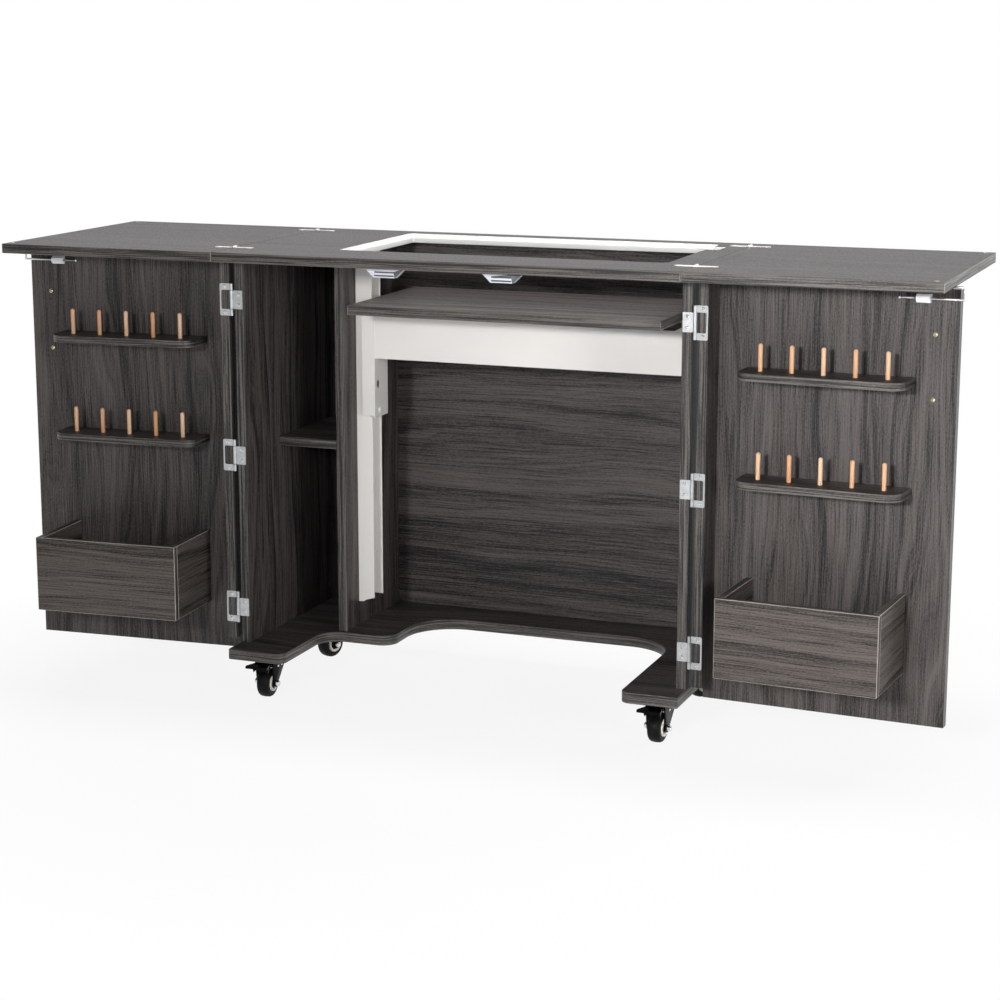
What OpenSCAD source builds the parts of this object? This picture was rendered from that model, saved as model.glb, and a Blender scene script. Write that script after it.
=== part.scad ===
// Sewing cabinet on casters, opened out for work: two leaves fold out beside a centre top,
// two storage doors swing back beneath them, and a platform on a lift carries the machine.
// Millimetres. +Z is up, +X is to the right and -Y is towards the person who sits at it.
// Each piece is written with x = 0 at the cabinet's middle, y = 0 at the front edge of the
// top and z = 0 on the floor. stand() then moves it so that the origin is the middle of the base.

/* [Table top] */
// Height of the work surface above the floor
top_height = 768; // [720:1:800]
// Thickness of the top and leaves
top_thickness = 16; // [15:0.5:20]
// Depth of the top and leaves, front to back
top_depth = 450; // [445:1:480]
// Width of the centre top
centre_width = 794; // [794:1:806]
// Gap between the centre top and each leaf
leaf_gap = 1; // [0.8:0.1:1.5]
// Gap between the two leaves when they are folded in
folded_gap = 2; // [1:0.5:30]

/* [Carcass] */
// Thickness of the upright panels
board = 16; // [15:0.5:18]
// Reach of the centre top past each side panel
top_overhang = 2; // [1:0.5:4]
// Distance from the top's front edge back to the side panels
carcass_setback = 75; // [72:1:80]
// Distance from the back panel forward of the top's back edge
back_inset = 4; // [2:1:10]
// Thickness of the base
base_thickness = 18; // [16:0.5:20]
// Height of the base's upper face
base_top = 93; // [90:1:96]
// Distance from the top's front edge back to the base's front edge
base_setback = 26; // [25:1:40]
// Reach of the base past each side panel
base_reach = 1; // [0:0.5:2]
// Distance from the machine opening to the divider
divider_gap = 30; // [24:1:60]
// Distance from the top's front edge back to the divider and its shelf
divider_setback = 200; // [180:1:220]
// Height of the compartment shelf's upper face
shelf_top = 431; // [380:1:480]

/* [Knee recess in the base] */
// Distance from the divider back to the left foot's inner edge
left_foot_inset = 24; // [22:1:50]
// Distance that the step beneath the divider stands in front of it
step_lead = 4; // [2:1:24]
// Reach of that step past the divider's right face
step_reach = 86; // [64:1:104]
// Depth of the base across the back of the recess
recess_land = 98; // [86:1:116]
// Width of the right foot inside the side panel
right_foot_width = 79; // [75:1:89]
// Corner radius at the tips of the feet
foot_radius = 16; // [10:1:24]
// Corner radius at the end of the step
step_end_radius = 28; // [20:1:30]
// Corner radius between the left foot and the step
step_radius = 40; // [30:1:44]
// Corner radius at the back of the recess
recess_radius = 85; // [60:1:90]
// Corner radius on the outer front corners of the base
tip_radius = 2; // [1:0.5:4]

/* [Machine opening] */
// Distance from the centre top's left edge to the opening
opening_left_margin = 173; // [167:1:177]
// Distance from the centre top's right edge to the opening
opening_right_margin = 55; // [53:1:65]
// Distance from the top's front edge to the opening
opening_front = 112; // [100:1:118]
// Distance from the top's back edge to the opening
opening_back_margin = 30; // [26:1:36]
// Corner radius of the opening
opening_radius = 12; // [8:1:14]
// Width of the liner from its rim to the clear opening
liner_width = 10; // [8:1:11]
// Wall thickness of the liner's rim
liner_rim = 1.5; // [1:0.5:2]
// Distance from the work surface down to the liner's rim
liner_drop = 0.8; // [0.5:0.1:1]
// Depth of the ledge below the work surface
ledge_depth = 7; // [5:0.5:9]
// Width of the cord notch beside the opening
notch_width = 22; // [16:1:26]
// Length of the cord notch, front to back
notch_length = 52; // [40:1:60]
// Distance from the back of the opening forward to the notch's back edge
notch_inset = 38; // [34:1:46]
// Corner radius of the cord notch
notch_radius = 6; // [3:1:8]

/* [Doors] */
// Angle of each open door short of a straight line with the front
door_rest = 3.8; // [0:0.1:8]
// Distance from the hinge pin out to the door's first edge
door_gap = 5; // [5:0.5:6]
// Gap between the two doors when they are closed
door_meeting_gap = 4; // [4:0.5:20]
// Height of the door panel's lower edge
door_bottom = 68; // [67:1:72]
// Gap between the door and the underside of the top
door_top_gap = 2; // [2:0.5:4]
// Depth of the stile between the hinges and the door panel
stile_depth = 52; // [50:1:54]
// Gap between the stile's lower end and the base
stile_lift = 5; // [4:1:12]

/* [Door hinges] */
// Distance from the base up to the lowest hinge
low_hinge_rise = 62; // [40:1:120]
// Distance from the top down to the highest hinge
high_hinge_drop = 70; // [50:1:120]
// Height of the small plate on the side panel
side_plate_height = 31; // [28:1:34]
// Height of the frame plate on the stile
frame_plate_height = 54; // [50:1:60]
// Width of each plate from the hinge pin
hinge_plate_reach = 20; // [18:0.5:20.5]
// Thickness of the plates
hinge_plate = 0.8; // [0.6:0.1:0.8]
// Diameter of the hinge barrel
barrel = 6; // [5:0.5:7]
// Diameter of the hinge pin
hinge_pin = 3; // [2:0.5:3]

/* [Thread shelves] */
// Distances from the door's top edge down to the two thread shelves
thread_shelf_drops = [308.5, 139]; // [100:0.5:340]
// Thickness of a thread shelf
thread_shelf_thickness = 12; // [10:1:14]
// Depth of a thread shelf
thread_shelf_depth = 70; // [56:1:72]
// Length of a thread shelf
thread_shelf_length = 264; // [258:1:270]
// Distance from the hinge pin to a thread shelf
thread_shelf_start = 70; // [66:1:80]
// Radius of a thread shelf's front corners
thread_shelf_radius = 26; // [16:1:28]
// Diameter of a peg
peg = 7; // [6:0.5:8]
// Height of a peg above its shelf
peg_height = 43; // [36:1:50]
// Depth of a peg in its shelf
peg_seat = 8; // [5:1:9]
// Number of pegs on a shelf
peg_count = 5; // [3:1:5]
// Distance between pegs
peg_pitch = 50; // [44:1:51]
// Distance from the door to the line of pegs
peg_line = 38.5; // [30:0.5:42]

/* [Door bins] */
// Distance from the door's lower edge up to its bin
bin_rise = 79; // [52:1:92]
// Height of a bin
bin_height = 127; // [100:1:140]
// Length of a bin
bin_length = 258; // [250:1:262]
// Distance from the hinge pin to a bin
bin_start = 73.5; // [72:0.5:80]
// Depth of a bin from the door to its front face
bin_depth = 147; // [110:1:150]
// Thickness of the bin's boards
bin_board = 12; // [10:1:14]

/* [Pulls, catches and leaf supports] */
// Distance from the door's free edge to the pull's screws
pull_inset = 36; // [28:1:48]
// Distance from the door's top edge down to the pull's upper screw
pull_drop = 72; // [60:1:90]
// Distance between the pull's screws
pull_centres = 99; // [80:1:128]
// Diameter of the pull's bar
pull_bar = 9; // [8:0.5:12]
// Clearance between the pull's bar and the door
pull_clearance = 22; // [18:1:26]
// Diameter of the pull's screws
pull_screw = 4; // [3:0.5:5]
// Distance from the cabinet's middle to each catch
catch_place = 100; // [75:1:110]
// Width of a catch at its root
catch_width = 71; // [64:1:74]
// Width of a catch at its lower edge
catch_tip = 37; // [32:1:44]
// Height of a catch
catch_height = 16; // [12:1:18]
// Depth of a catch, front to back
catch_depth = 14; // [10:1:18]
// Thickness of a strike plate
strike_plate = 0.8; // [0.6:0.1:1]
// Diameter of the support wires
wire = 3.5; // [2.5:0.5:3.5]
// Distance from the underside of the top down to the wire's straight bar
wire_drop = 19.5; // [16:0.5:24]
// Length of the wire's straight bar
wire_bar = 97; // [90:1:105]
// Gap between the leaf's outer end and the wire's upright arm
wire_gap = 12; // [11:0.5:15]
// Length of the wire's tip beneath the leaf
wire_tip = 17; // [12:1:22]
// Length of the wire's bent inner end
wire_bend = 4; // [3:0.5:4]
// Distance from the left and right doors to their wires
wire_offsets = [4.5, 8.5]; // [4.5:0.5:12]
// Distance from the wire's upright arm in to the middle of its clip
clip_inset = 61.5; // [55:0.5:67]
// Length of the clip
clip_length = 21.5; // [18:0.5:28]
// Height of the clip
clip_height = 13; // [11:1:16]

/* [Leaf hinges] */
// Distance from the front edge to the front leaf hinges
leaf_hinge_front = 84; // [60:1:95]
// Distance from the back edge to the back leaf hinges
leaf_hinge_back = 46; // [30:1:60]
// Reach of each hinge plate from the joint
leaf_plate_reach = 35; // [30:1:40]
// Diameter of the rounded lobe of a plate
leaf_plate_lobe = 14; // [12:1:16]
// Thickness of the plates
leaf_plate = 2; // [1.6:0.1:2.2]
// Height of the plates above the work surface
leaf_plate_proud = 0.6; // [0.4:0.1:0.7]
// Height of the hinge pins above the work surface
leaf_pin_height = 1; // [1:0.1:1.2]
// Diameter of the barrel
leaf_barrel = 4; // [4:0.1:4.4]
// Diameter of the pin
leaf_pin = 2; // [1.6:0.1:2.2]
// Diameter of the clear bumpers on the leaves
bumper = 9; // [7:0.5:11]
// Height of the bumpers
bumper_height = 1.6; // [1:0.1:1.8]
// Distance from a leaf's outer end to its bumpers
bumper_inset = 14; // [12:1:20]
// Distance from a leaf's front edge to its front bumper
bumper_front = 12; // [10:1:16]
// Distance from a leaf's back edge to its back bumper
bumper_back = 16; // [10:1:18]

/* [Lift] */
// Distance from the work surface down to the platform in the flat-bed position
platform_drop = 93; // [68:1:118]
// Thickness of the platform
platform_thickness = 16; // [15:0.5:18]
// Clearance between the platform and the opening all round
platform_clearance = 2; // [1.5:0.5:4]
// Distance from the top's front edge back to the rails
rail_front = 251; // [248:1:256]
// Depth of a rail, front to back
rail_depth = 39; // [34:1:41]
// Width of a rail
rail_width = 29.5; // [28:0.5:30]
// Distance from the base up to the rails' lower ends
rail_lift = 43; // [32:1:57]
// Thickness of the rails and brackets
sheet = 2; // [1.5:0.1:2.2]
// Distance from a panel to the inner face of its bracket
bracket_reach = 38.5; // [38:0.5:40]
// Distance that the brackets stand in front of the rails
bracket_lead = 9; // [8:0.5:10]
// Depth of a bracket, front to back
bracket_depth = 55; // [55:0.5:58]
// Width of a bracket's front flange
bracket_flange = 24; // [20:1:26]
// Height of a bracket
bracket_height = 189; // [175:1:200]
// Distance from the underside of the platform to a bracket's upper end
bracket_drop = 4; // [3:0.5:8]
// Distance from the underside of the platform to the apron
apron_drop = 16; // [12:1:20]
// Height of the apron
apron_height = 73.5; // [60:0.5:85]
// Depth of the apron's lower flange
apron_flange = 15; // [10:1:20]
// Distance from the platform's back edge forward to the back ends of the arms beneath it
arm_inset = 12; // [5:1:40]
// Width of the arms' upper flanges
arm_flange = 30; // [20:1:40]
// Height of the arms
arm_height = 23; // [18:1:30]

/* [Casters] */
// Distance from each side panel's outer face in to its casters
caster_inset = 45; // [43:1:51]
// Distance from the top's front edge back to the front casters
caster_front = 97; // [96:1:110]
// Distance from the back panel's back face forward to the back casters
caster_back_inset = 82; // [74:1:96]
// Turn of the front left, front right, back left and back right casters
caster_turns = [1, -4, -20, -30]; // [-180:1:180]
// Diameter of the wheels
wheel = 50; // [46:1:50]
// Width of the wheels over their hubs
wheel_width = 26; // [24:1:28]
// Width of the tyres
tyre_width = 22; // [18:1:23]
// Distance from a caster's stem to its axle
caster_trail = 18; // [16:1:20]
// Diameter of the axles
axle = 6; // [5:0.5:8]
// Diameter of the stems
stem = 10; // [8:0.5:12]
// Thickness of the fork plates
fork_plate = 2.5; // [2:0.1:3]
// Width of the brake pedals
pedal_width = 40; // [34:1:42]
// Diameter of the brake rods
brake_rod = 4; // [3:0.5:5]

/* [Clearances] */
// Radial clearance of pins and axles in their bores
running_fit = 0.05; // [0.02:0.01:0.08]
// Gap between pieces that move past each other
slip = 0.3; // [0.2:0.05:0.4]

/* [Hidden] */

$fn = 48;
eps = 0.01;
left = -1;
right = 1;
charcoal = [0.24, 0.22, 0.21];
top_grey = [0.36, 0.35, 0.34];
cream = [0.90, 0.90, 0.89];
zinc = [0.80, 0.81, 0.82];
beech = [0.86, 0.62, 0.47];
black = [0.05, 0.05, 0.05];

// Levels and planes that several pieces share
top_underside = top_height - top_thickness;
centre_edge = centre_width / 2;
joint_x = centre_edge + leaf_gap / 2;
leaf_inner = centre_edge + leaf_gap;
leaf_outer = leaf_inner + centre_edge - folded_gap / 2;
side_outer = centre_edge - top_overhang;
side_inner = side_outer - board;
opening_left = opening_left_margin - centre_edge;
opening_right = centre_edge - opening_right_margin;
opening_back = top_depth - opening_back_margin;
divider_right = opening_left - divider_gap;
divider_left = divider_right - board;
carcass_back = top_depth - back_inset;
back_front = carcass_back - board;
base_bottom = base_top - base_thickness;
liner_left = opening_left + liner_width;
liner_right = opening_right - liner_width;
liner_front = opening_front + liner_width;
liner_back = opening_back - liner_width;

// The door hinge pins stand half the closed gap in front of the side panels
closed_gap = 2;
hinge_x = side_outer + door_gap;
hinge_y = carcass_setback - closed_gap / 2;
stile_front = closed_gap / 2;
door_inner = stile_front + stile_depth;
door_outer = door_inner + board;
door_reach = hinge_x - door_meeting_gap / 2;
door_top = top_underside - door_top_gap;
stile_bottom = base_top + stile_lift;
low_hinge = base_top + low_hinge_rise;
high_hinge = top_underside - high_hinge_drop;
door_hinge_heights = [low_hinge, (low_hinge + high_hinge) / 2, high_hinge];

// The front of the object is the outer corner of a bin, and its back is the top's back edge
front_reach = hinge_y - (bin_start + bin_length) * sin(door_rest)
    + (door_inner - bin_depth) * cos(door_rest);
origin_y = (front_reach + top_depth) / 2;

module stand() { translate([0, -origin_y, 0]) children(); }

// Mirrors a right-hand piece for the left side
module on_side(side) {
    if (side == left) mirror([1, 0, 0]) children();
    else children();
}

// Places a piece of a door: x runs out from the hinge pin along the door and y runs back
module at_door(side) {
    stand() on_side(side) translate([hinge_x, hinge_y, 0]) rotate([0, 0, -door_rest]) children();
}

// Box from its low corner to its high corner
module block(low, high) { translate(low) cube(high - low); }

function unit(v) = v / norm(v);

// Points along the arc that rounds corner p, between its neighbours a and b, to radius r
function corner_arc(a, p, b, r, steps) =
    let (
        u = unit(a - p),
        w = unit(b - p),
        half = acos(u * w) / 2,
        centre = p + unit(u + w) * r / sin(half),
        start = p + u * r / tan(half) - centre,
        finish = p + w * r / tan(half) - centre,
        from = atan2(start.y, start.x),
        swing = atan2(finish.y, finish.x) - from,
        turn = swing > 180 ? swing - 360 : swing < -180 ? swing + 360 : swing
    )
    [for (i = [0:steps]) centre + r * [cos(from + turn * i / steps), sin(from + turn * i / steps)]];

// Outline with each corner rounded; each entry is a point and its radius
function rounded(corners, steps = 12) =
    let (n = len(corners))
    [for (i = [0:n - 1]) each corner_arc(corners[(i + n - 1) % n][0], corners[i][0],
        corners[(i + 1) % n][0], corners[i][1], steps)];

function rounded_box(low, high, r) = rounded([
    [low, r], [[high.x, low.y], r], [high, r], [[low.x, high.y], r]
]);

// Upright slab of an outline between two heights
module slab(points, low, high) {
    translate([0, 0, low]) linear_extrude(high - low) polygon(points);
}

module rod(d, length) { cylinder(d = d, h = length); }

// Rod along X between two places
module rod_x(d, from, to) { translate([from, 0, 0]) rotate([0, 90, 0]) rod(d, to - from); }

// Rod along Y between two places
module rod_y(d, from, to) { translate([0, from, 0]) rotate([-90, 0, 0]) rod(d, to - from); }

// Carcass

module base_panel() {
    foot = side_outer + base_reach;
    left_foot_edge = divider_left - left_foot_inset;
    right_foot_edge = side_inner - right_foot_width;
    step_front = divider_setback - step_lead;
    step_end = divider_right + step_reach;
    recess_back = carcass_back - recess_land;
    outline = rounded([
        [[-foot, base_setback], tip_radius],
        [[left_foot_edge, base_setback], foot_radius],
        [[left_foot_edge, step_front], step_radius],
        [[step_end, step_front], step_end_radius],
        [[step_end, recess_back], recess_radius],
        [[right_foot_edge, recess_back], recess_radius],
        [[right_foot_edge, base_setback], foot_radius],
        [[foot, base_setback], tip_radius],
        [[foot, carcass_back], tip_radius],
        [[-foot, carcass_back], tip_radius]
    ], 16);
    color(charcoal) stand() slab(outline, base_bottom, base_top);
}

module side_panel(side) {
    color(charcoal) stand() on_side(side)
        block([side_inner, carcass_setback, base_top], [side_outer, carcass_back, top_underside]);
}

module divider_panel() {
    color(charcoal) stand()
        block([divider_left, divider_setback, base_top], [divider_right, back_front, top_underside]);
}

module back_panel() {
    color(charcoal) stand()
        block([-side_inner, back_front, base_top], [side_inner, carcass_back, top_underside]);
}

module compartment_shelf() {
    color(charcoal) stand()
        block([-side_inner, divider_setback, shelf_top - board], [divider_left, back_front, shelf_top]);
}

// Plan of one hinge plate on the right-hand joint, reaching away from it; grow widens it
module leaf_plate_plan(grow) {
    lobe = leaf_plate_lobe / 2;
    neck = leaf_plate_lobe * 0.4;
    translate([leaf_plate_reach - lobe, 0]) circle(r = lobe + grow);
    translate([leaf_barrel / 2 + slip - grow, -neck - grow])
        square([leaf_plate_reach - lobe - leaf_barrel / 2 - slip + grow, 2 * (neck + grow)]);
}

// The four pockets in the tops for one joint's hinge plates and barrels, on both its sides
module leaf_hinge_pockets() {
    pocket_floor = top_height + leaf_plate_proud - leaf_plate;
    for (y = leaf_hinge_places(), way = [0, 1])
        translate([joint_x, y, pocket_floor]) mirror([way, 0, 0]) linear_extrude(leaf_plate) {
            leaf_plate_plan(slip);
            translate([0, -leaf_plate_lobe / 2 - slip])
                square([knuckle_root() + slip, leaf_plate_lobe + 2 * slip]);
        }
}

function leaf_hinge_places() = [leaf_hinge_front, top_depth - leaf_hinge_back];

// Reach from a leaf hinge's pin to where each knuckle joins its plate
function knuckle_root() = leaf_barrel / 2 + slip + 1;

// Outline of the cord notch beside the opening from a place along x, narrowed by an inset
function notch_plan(from, inset) =
    let (
        high = opening_back - notch_inset - inset,
        low = opening_back - notch_inset - notch_length + inset,
        end = opening_right + notch_width - inset,
        r = notch_radius - inset
    )
    rounded([[[from, low], 1], [[end, low], r], [[end, high], r], [[from, high], 1]]);

module centre_top() {
    color(top_grey) stand() difference() {
        block([-centre_edge, 0, top_underside], [centre_edge, top_depth, top_height]);
        slab(rounded_box([opening_left, opening_front], [opening_right, opening_back],
            opening_radius), top_underside - 1, top_height + 1);
        slab(notch_plan(opening_right - notch_radius, 0), top_underside - 1, top_height + 1);
        for (side = [left, right]) on_side(side) leaf_hinge_pockets();
    }
}

// Liner of the opening and its notch, with a ledge for an insert
module opening_liner() {
    rim_top = top_height - liner_drop;
    ledge = top_height - ledge_depth;
    color(cream) stand() difference() {
        union() {
            slab(rounded_box([opening_left, opening_front], [opening_right, opening_back],
                opening_radius), top_underside, rim_top);
            slab(notch_plan(opening_right - notch_radius, 0), top_underside, rim_top);
        }
        slab(rounded_box([opening_left + liner_rim, opening_front + liner_rim],
            [opening_right - liner_rim, opening_back - liner_rim],
            opening_radius - liner_rim), ledge, top_height + 1);
        slab(rounded_box([liner_left, liner_front], [liner_right, liner_back],
            max(1, opening_radius - liner_width)), top_underside - 1, ledge + 1);
        slab(notch_plan(liner_right - 1, liner_rim), top_underside - 1, top_height + 1);
    }
}

// Discs over the fittings that join the uprights to the base
module cover_caps() {
    cap = 13;
    cap_thickness = 0.6;
    cap_height = base_top + 29;
    side_cap_inset = 71;
    divider_cap_inset = 34;
    cap_back = back_front - 31;
    color(charcoal) stand() {
        for (side = [left, right], y = [carcass_setback + side_cap_inset, cap_back])
            on_side(side) translate([0, y, cap_height]) rod_x(cap, side_inner - cap_thickness, side_inner);
        for (y = [divider_setback + divider_cap_inset, cap_back])
            translate([0, y, cap_height]) rod_x(cap, divider_right, divider_right + cap_thickness);
    }
}

// Magnetic catches hung beneath the front of the top, one for each door
module door_catches() {
    front = hinge_y - door_inner + strike_plate + slip;
    strip = catch_tip * 0.9;
    strip_height = 2;
    strip_proud = 0.5;
    color(cream) stand() for (x = [-catch_place, catch_place]) {
        translate([x, front + catch_depth, 0]) rotate([90, 0, 0])
            linear_extrude(catch_depth - strip_proud) polygon([
                [-catch_width / 2, top_underside],
                [-catch_tip / 2, top_underside - catch_height],
                [catch_tip / 2, top_underside - catch_height],
                [catch_width / 2, top_underside]
            ]);
        for (drop = catch_height * [0.45, 0.8])
            block([x - strip / 2, front, top_underside - drop - strip_height / 2],
                [x + strip / 2, front + 2 * strip_proud, top_underside - drop + strip_height / 2]);
    }
}

// Small plates on the front edges of the side panels, each with the middle knuckle
module side_hinge_plates() {
    color(zinc) stand() for (side = [left, right], z = door_hinge_heights)
        on_side(side) translate([hinge_x, hinge_y, z]) difference() {
            union() {
                block([-hinge_plate_reach, stile_front - hinge_plate, -side_plate_height / 2],
                    [-barrel / 2 + 1, stile_front, side_plate_height / 2]);
                translate([0, 0, -side_plate_height / 2]) rod(barrel, side_plate_height);
            }
            translate([0, 0, -side_plate_height]) rod(hinge_pin + 2 * running_fit, 2 * side_plate_height);
        }
}

// One half of a leaf hinge on the right-hand joint: the middle knuckle or the two end knuckles
module leaf_hinge_half(knuckles, bore) {
    plate_low = top_height + leaf_plate_proud - leaf_plate;
    plate_high = top_height + leaf_plate_proud;
    pin_z = top_height + leaf_pin_height;
    difference() {
        union() {
            translate([0, 0, plate_low]) linear_extrude(leaf_plate) leaf_plate_plan(0);
            for (k = knuckles) {
                block([0, k[0], plate_low], [knuckle_root(), k[1], plate_high]);
                translate([0, 0, pin_z]) rod_y(leaf_barrel, k[0], k[1]);
            }
        }
        if (bore) translate([0, 0, pin_z])
            rod_y(leaf_pin + 2 * running_fit, -leaf_plate_lobe, leaf_plate_lobe);
    }
}

function middle_knuckle() = leaf_plate_lobe / 2 * 0.4;

module top_hinge_plates() {
    middle = middle_knuckle();
    color(zinc) stand() for (side = [left, right], y = leaf_hinge_places())
        on_side(side) translate([joint_x, y, 0]) mirror([1, 0, 0])
            leaf_hinge_half([[-middle, middle]], true);
}

// Places a piece of the lift: x runs from the panel's face into the knee space
module at_rail(side) {
    stand() {
        if (side == left) translate([divider_right, 0, 0]) children();
        else translate([side_inner, 0, 0]) mirror([1, 0, 0]) children();
    }
}

// Folded channel rails, screwed to the divider and the right side panel, open to the knee space
module lift_rails() {
    lip = 8;
    rail_bottom = base_top + rail_lift;
    color(cream) for (side = [left, right]) at_rail(side) {
        difference() {
            block([0, rail_front, rail_bottom + lip], [rail_width, rail_front + rail_depth, top_underside]);
            block([sheet, rail_front + sheet, rail_bottom],
                [rail_width + 1, rail_front + rail_depth - sheet, top_underside + 1]);
        }
        translate([0, rail_front + sheet, 0]) rotate([90, 0, 0]) linear_extrude(sheet) polygon([
            [0, rail_bottom], [rail_width * 0.3, rail_bottom], [rail_width * 0.45, rail_bottom + lip * 0.4],
            [rail_width, rail_bottom + lip], [rail_width, rail_bottom + lip + 1], [0, rail_bottom + lip + 1]
        ]);
    }
}

// Lift carriage

platform_top = top_height - platform_drop;
platform_underside = platform_top - platform_thickness;
platform_left = liner_left + platform_clearance;
platform_right = liner_right - platform_clearance;
bracket_top = platform_underside - bracket_drop;
bracket_bottom = bracket_top - bracket_height;
bracket_front = rail_front - bracket_lead;

module lift_platform() {
    color(charcoal) stand()
        block([platform_left, liner_front + platform_clearance, platform_underside],
            [platform_right, liner_back - platform_clearance, platform_top]);
}

// Distance from each panel's face to the platform's end
function platform_gap(side) = side == left ? platform_left - divider_right : side_inner - platform_right;

// Bolts through each bracket into its glide blocks; the upper one clears the arm above it
bolt = 6;
bolt_head = 10;
bolt_margin = 11.5;
bolt_low = bracket_bottom + bolt_margin;
bolt_high = platform_underside - arm_height - 2 * bolt_head;
bolt_y = rail_front + bolt_margin;

module lift_brackets() {
    side_plate = bracket_reach - sheet;
    back = bracket_front + bracket_depth;
    slot = 11;
    slot_travel = 1.5;
    slot_y = bracket_front + 15;
    slot_z = bracket_bottom + 58;
    color(cream) for (side = [left, right]) at_rail(side) {
        difference() {
            union() {
                block([side_plate, bracket_front, bracket_bottom], [bracket_reach, back, bracket_top]);
                block([bracket_reach - bracket_flange, bracket_front, bracket_bottom + 4],
                    [bracket_reach, bracket_front + sheet, bracket_top]);
                block([rail_width * 0.75, back - sheet, bracket_bottom + 4], [bracket_reach, back, bracket_top]);
                support_arm(platform_gap(side));
            }
            for (z = [bolt_low, bolt_high])
                translate([0, bolt_y, z]) rod_x(bolt + 2 * running_fit, side_plate - 1, bracket_reach + 1);
            // Oval slot for setting the height
            for (z = [-slot_travel, slot_travel])
                translate([0, slot_y, slot_z + z]) rod_x(slot, side_plate - 1, bracket_reach + 1);
            block([side_plate - 1, slot_y - slot / 2, slot_z - slot_travel],
                [bracket_reach + 1, slot_y + slot / 2, slot_z + slot_travel]);
        }
    }
}

// Z-shaped arm that carries the platform; gap is the distance to the platform's end
module support_arm(gap) {
    arm_front = bracket_front + 2 * sheet;
    arm_back = liner_back - platform_clearance - arm_inset;
    arm_bottom = platform_underside - arm_height;
    block([bracket_reach - sheet, arm_front, arm_bottom], [gap + sheet, arm_back, arm_bottom + sheet]);
    block([gap, arm_front, arm_bottom], [gap + sheet, arm_back, platform_underside]);
    block([gap, arm_front, platform_underside - sheet], [gap + arm_flange, arm_back, platform_underside]);
}

module lift_apron() {
    high = platform_underside - apron_drop;
    low = high - apron_height;
    apron_left = divider_right + bracket_reach;
    apron_right = side_inner - bracket_reach;
    apron_front = bracket_front + sheet / 2;
    rise = apron_drop - bracket_drop;
    color(cream) stand() {
        translate([0, apron_front + sheet, 0]) rotate([90, 0, 0]) linear_extrude(sheet) polygon([
            [apron_left, low], [apron_right, low], [apron_right, high + rise],
            [apron_right - 2 * rise, high], [apron_left + 2 * rise, high], [apron_left, high + rise]
        ]);
        block([apron_left, apron_front + sheet, low], [apron_right, apron_front + apron_flange, low + sheet]);
    }
}

// Nylon blocks that slide inside the rails and before and behind them
module glide_blocks() {
    side_plate = bracket_reach - sheet;
    glide_height = 30;
    color(cream) for (side = [left, right]) at_rail(side) for (z = [bolt_low, bolt_high]) {
        difference() {
            block([sheet + slip, rail_front + sheet + slip, z - glide_height / 3],
                [side_plate, rail_front + rail_depth - sheet - slip, z + glide_height / 2]);
            translate([0, bolt_y, z]) rod_x(bolt + 2 * running_fit, rail_width, bracket_reach);
        }
        block([bracket_reach - bracket_flange + 1, bracket_front + sheet, z - glide_height / 3],
            [rail_width - 1, rail_front - slip, z + glide_height / 2]);
        block([rail_width * 0.75, rail_front + rail_depth + slip, z - glide_height / 3],
            [rail_width, bracket_front + bracket_depth - sheet, z + glide_height / 2]);
    }
}

module lift_bolts() {
    head_height = 3;
    color(cream) for (side = [left, right]) at_rail(side) for (z = [bolt_low, bolt_high])
        translate([0, bolt_y, z]) {
            rod_x(bolt_head, bracket_reach, bracket_reach + head_height);
            rod_x(bolt, rail_width + 1, bracket_reach + eps);
        }
}

// Doors

pull_place = door_reach - pull_inset;
pull_top = door_top - pull_drop;

module door_panel(side) {
    panel_screws = [pull_top, pull_top - pull_centres];
    color(charcoal) at_door(side) difference() {
        block([door_gap, door_inner, door_bottom], [door_reach, door_outer, door_top]);
        for (z = panel_screws)
            translate([pull_place, 0, z]) rod_y(pull_screw + 2 * running_fit, door_inner - 1, door_outer + 1);
    }
}

module door_stile(side) {
    color(charcoal) at_door(side)
        block([door_gap, stile_front, stile_bottom], [door_gap + board, door_inner, door_top]);
}

module thread_shelves(side) {
    shelf_end = thread_shelf_start + thread_shelf_length;
    shelf_front = door_inner - thread_shelf_depth;
    color(charcoal) at_door(side) for (z = thread_shelf_tops()) difference() {
        slab(rounded([
            [[thread_shelf_start, door_inner], 0.1],
            [[thread_shelf_start, shelf_front], thread_shelf_radius],
            [[shelf_end, shelf_front], thread_shelf_radius],
            [[shelf_end, door_inner], 0.1]
        ]), z - thread_shelf_thickness, z);
        for (x = peg_places())
            translate([x, door_inner - peg_line, z - peg_seat]) rod(peg + 2 * running_fit, peg_seat + 1);
    }
}

function thread_shelf_tops() = [for (drop = thread_shelf_drops) door_top - drop];

function peg_places() =
    let (middle = thread_shelf_start + thread_shelf_length / 2)
    [for (i = [0:peg_count - 1]) middle + (i - (peg_count - 1) / 2) * peg_pitch];

module thread_pegs(side) {
    tip = peg / 2;
    color(beech) at_door(side) for (z = thread_shelf_tops(), x = peg_places())
        translate([x, door_inner - peg_line, z - peg_seat]) {
            rod(peg, peg_seat + peg_height - tip);
            translate([0, 0, peg_seat + peg_height - tip]) rotate_extrude() intersection() {
                circle(r = tip);
                square(tip);
            }
        }
}

bin_bottom_height = door_bottom + bin_rise;
bin_end = bin_start + bin_length;
bin_front_face = door_inner - bin_depth;

module bin_front(side) {
    color(charcoal) at_door(side)
        block([bin_start, bin_front_face, bin_bottom_height],
            [bin_end, bin_front_face + bin_board, bin_bottom_height + bin_height]);
}

module bin_sides(side) {
    color(charcoal) at_door(side) for (x = [bin_start, bin_end - bin_board])
        block([x, bin_front_face + bin_board, bin_bottom_height],
            [x + bin_board, door_inner, bin_bottom_height + bin_height]);
}

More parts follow.
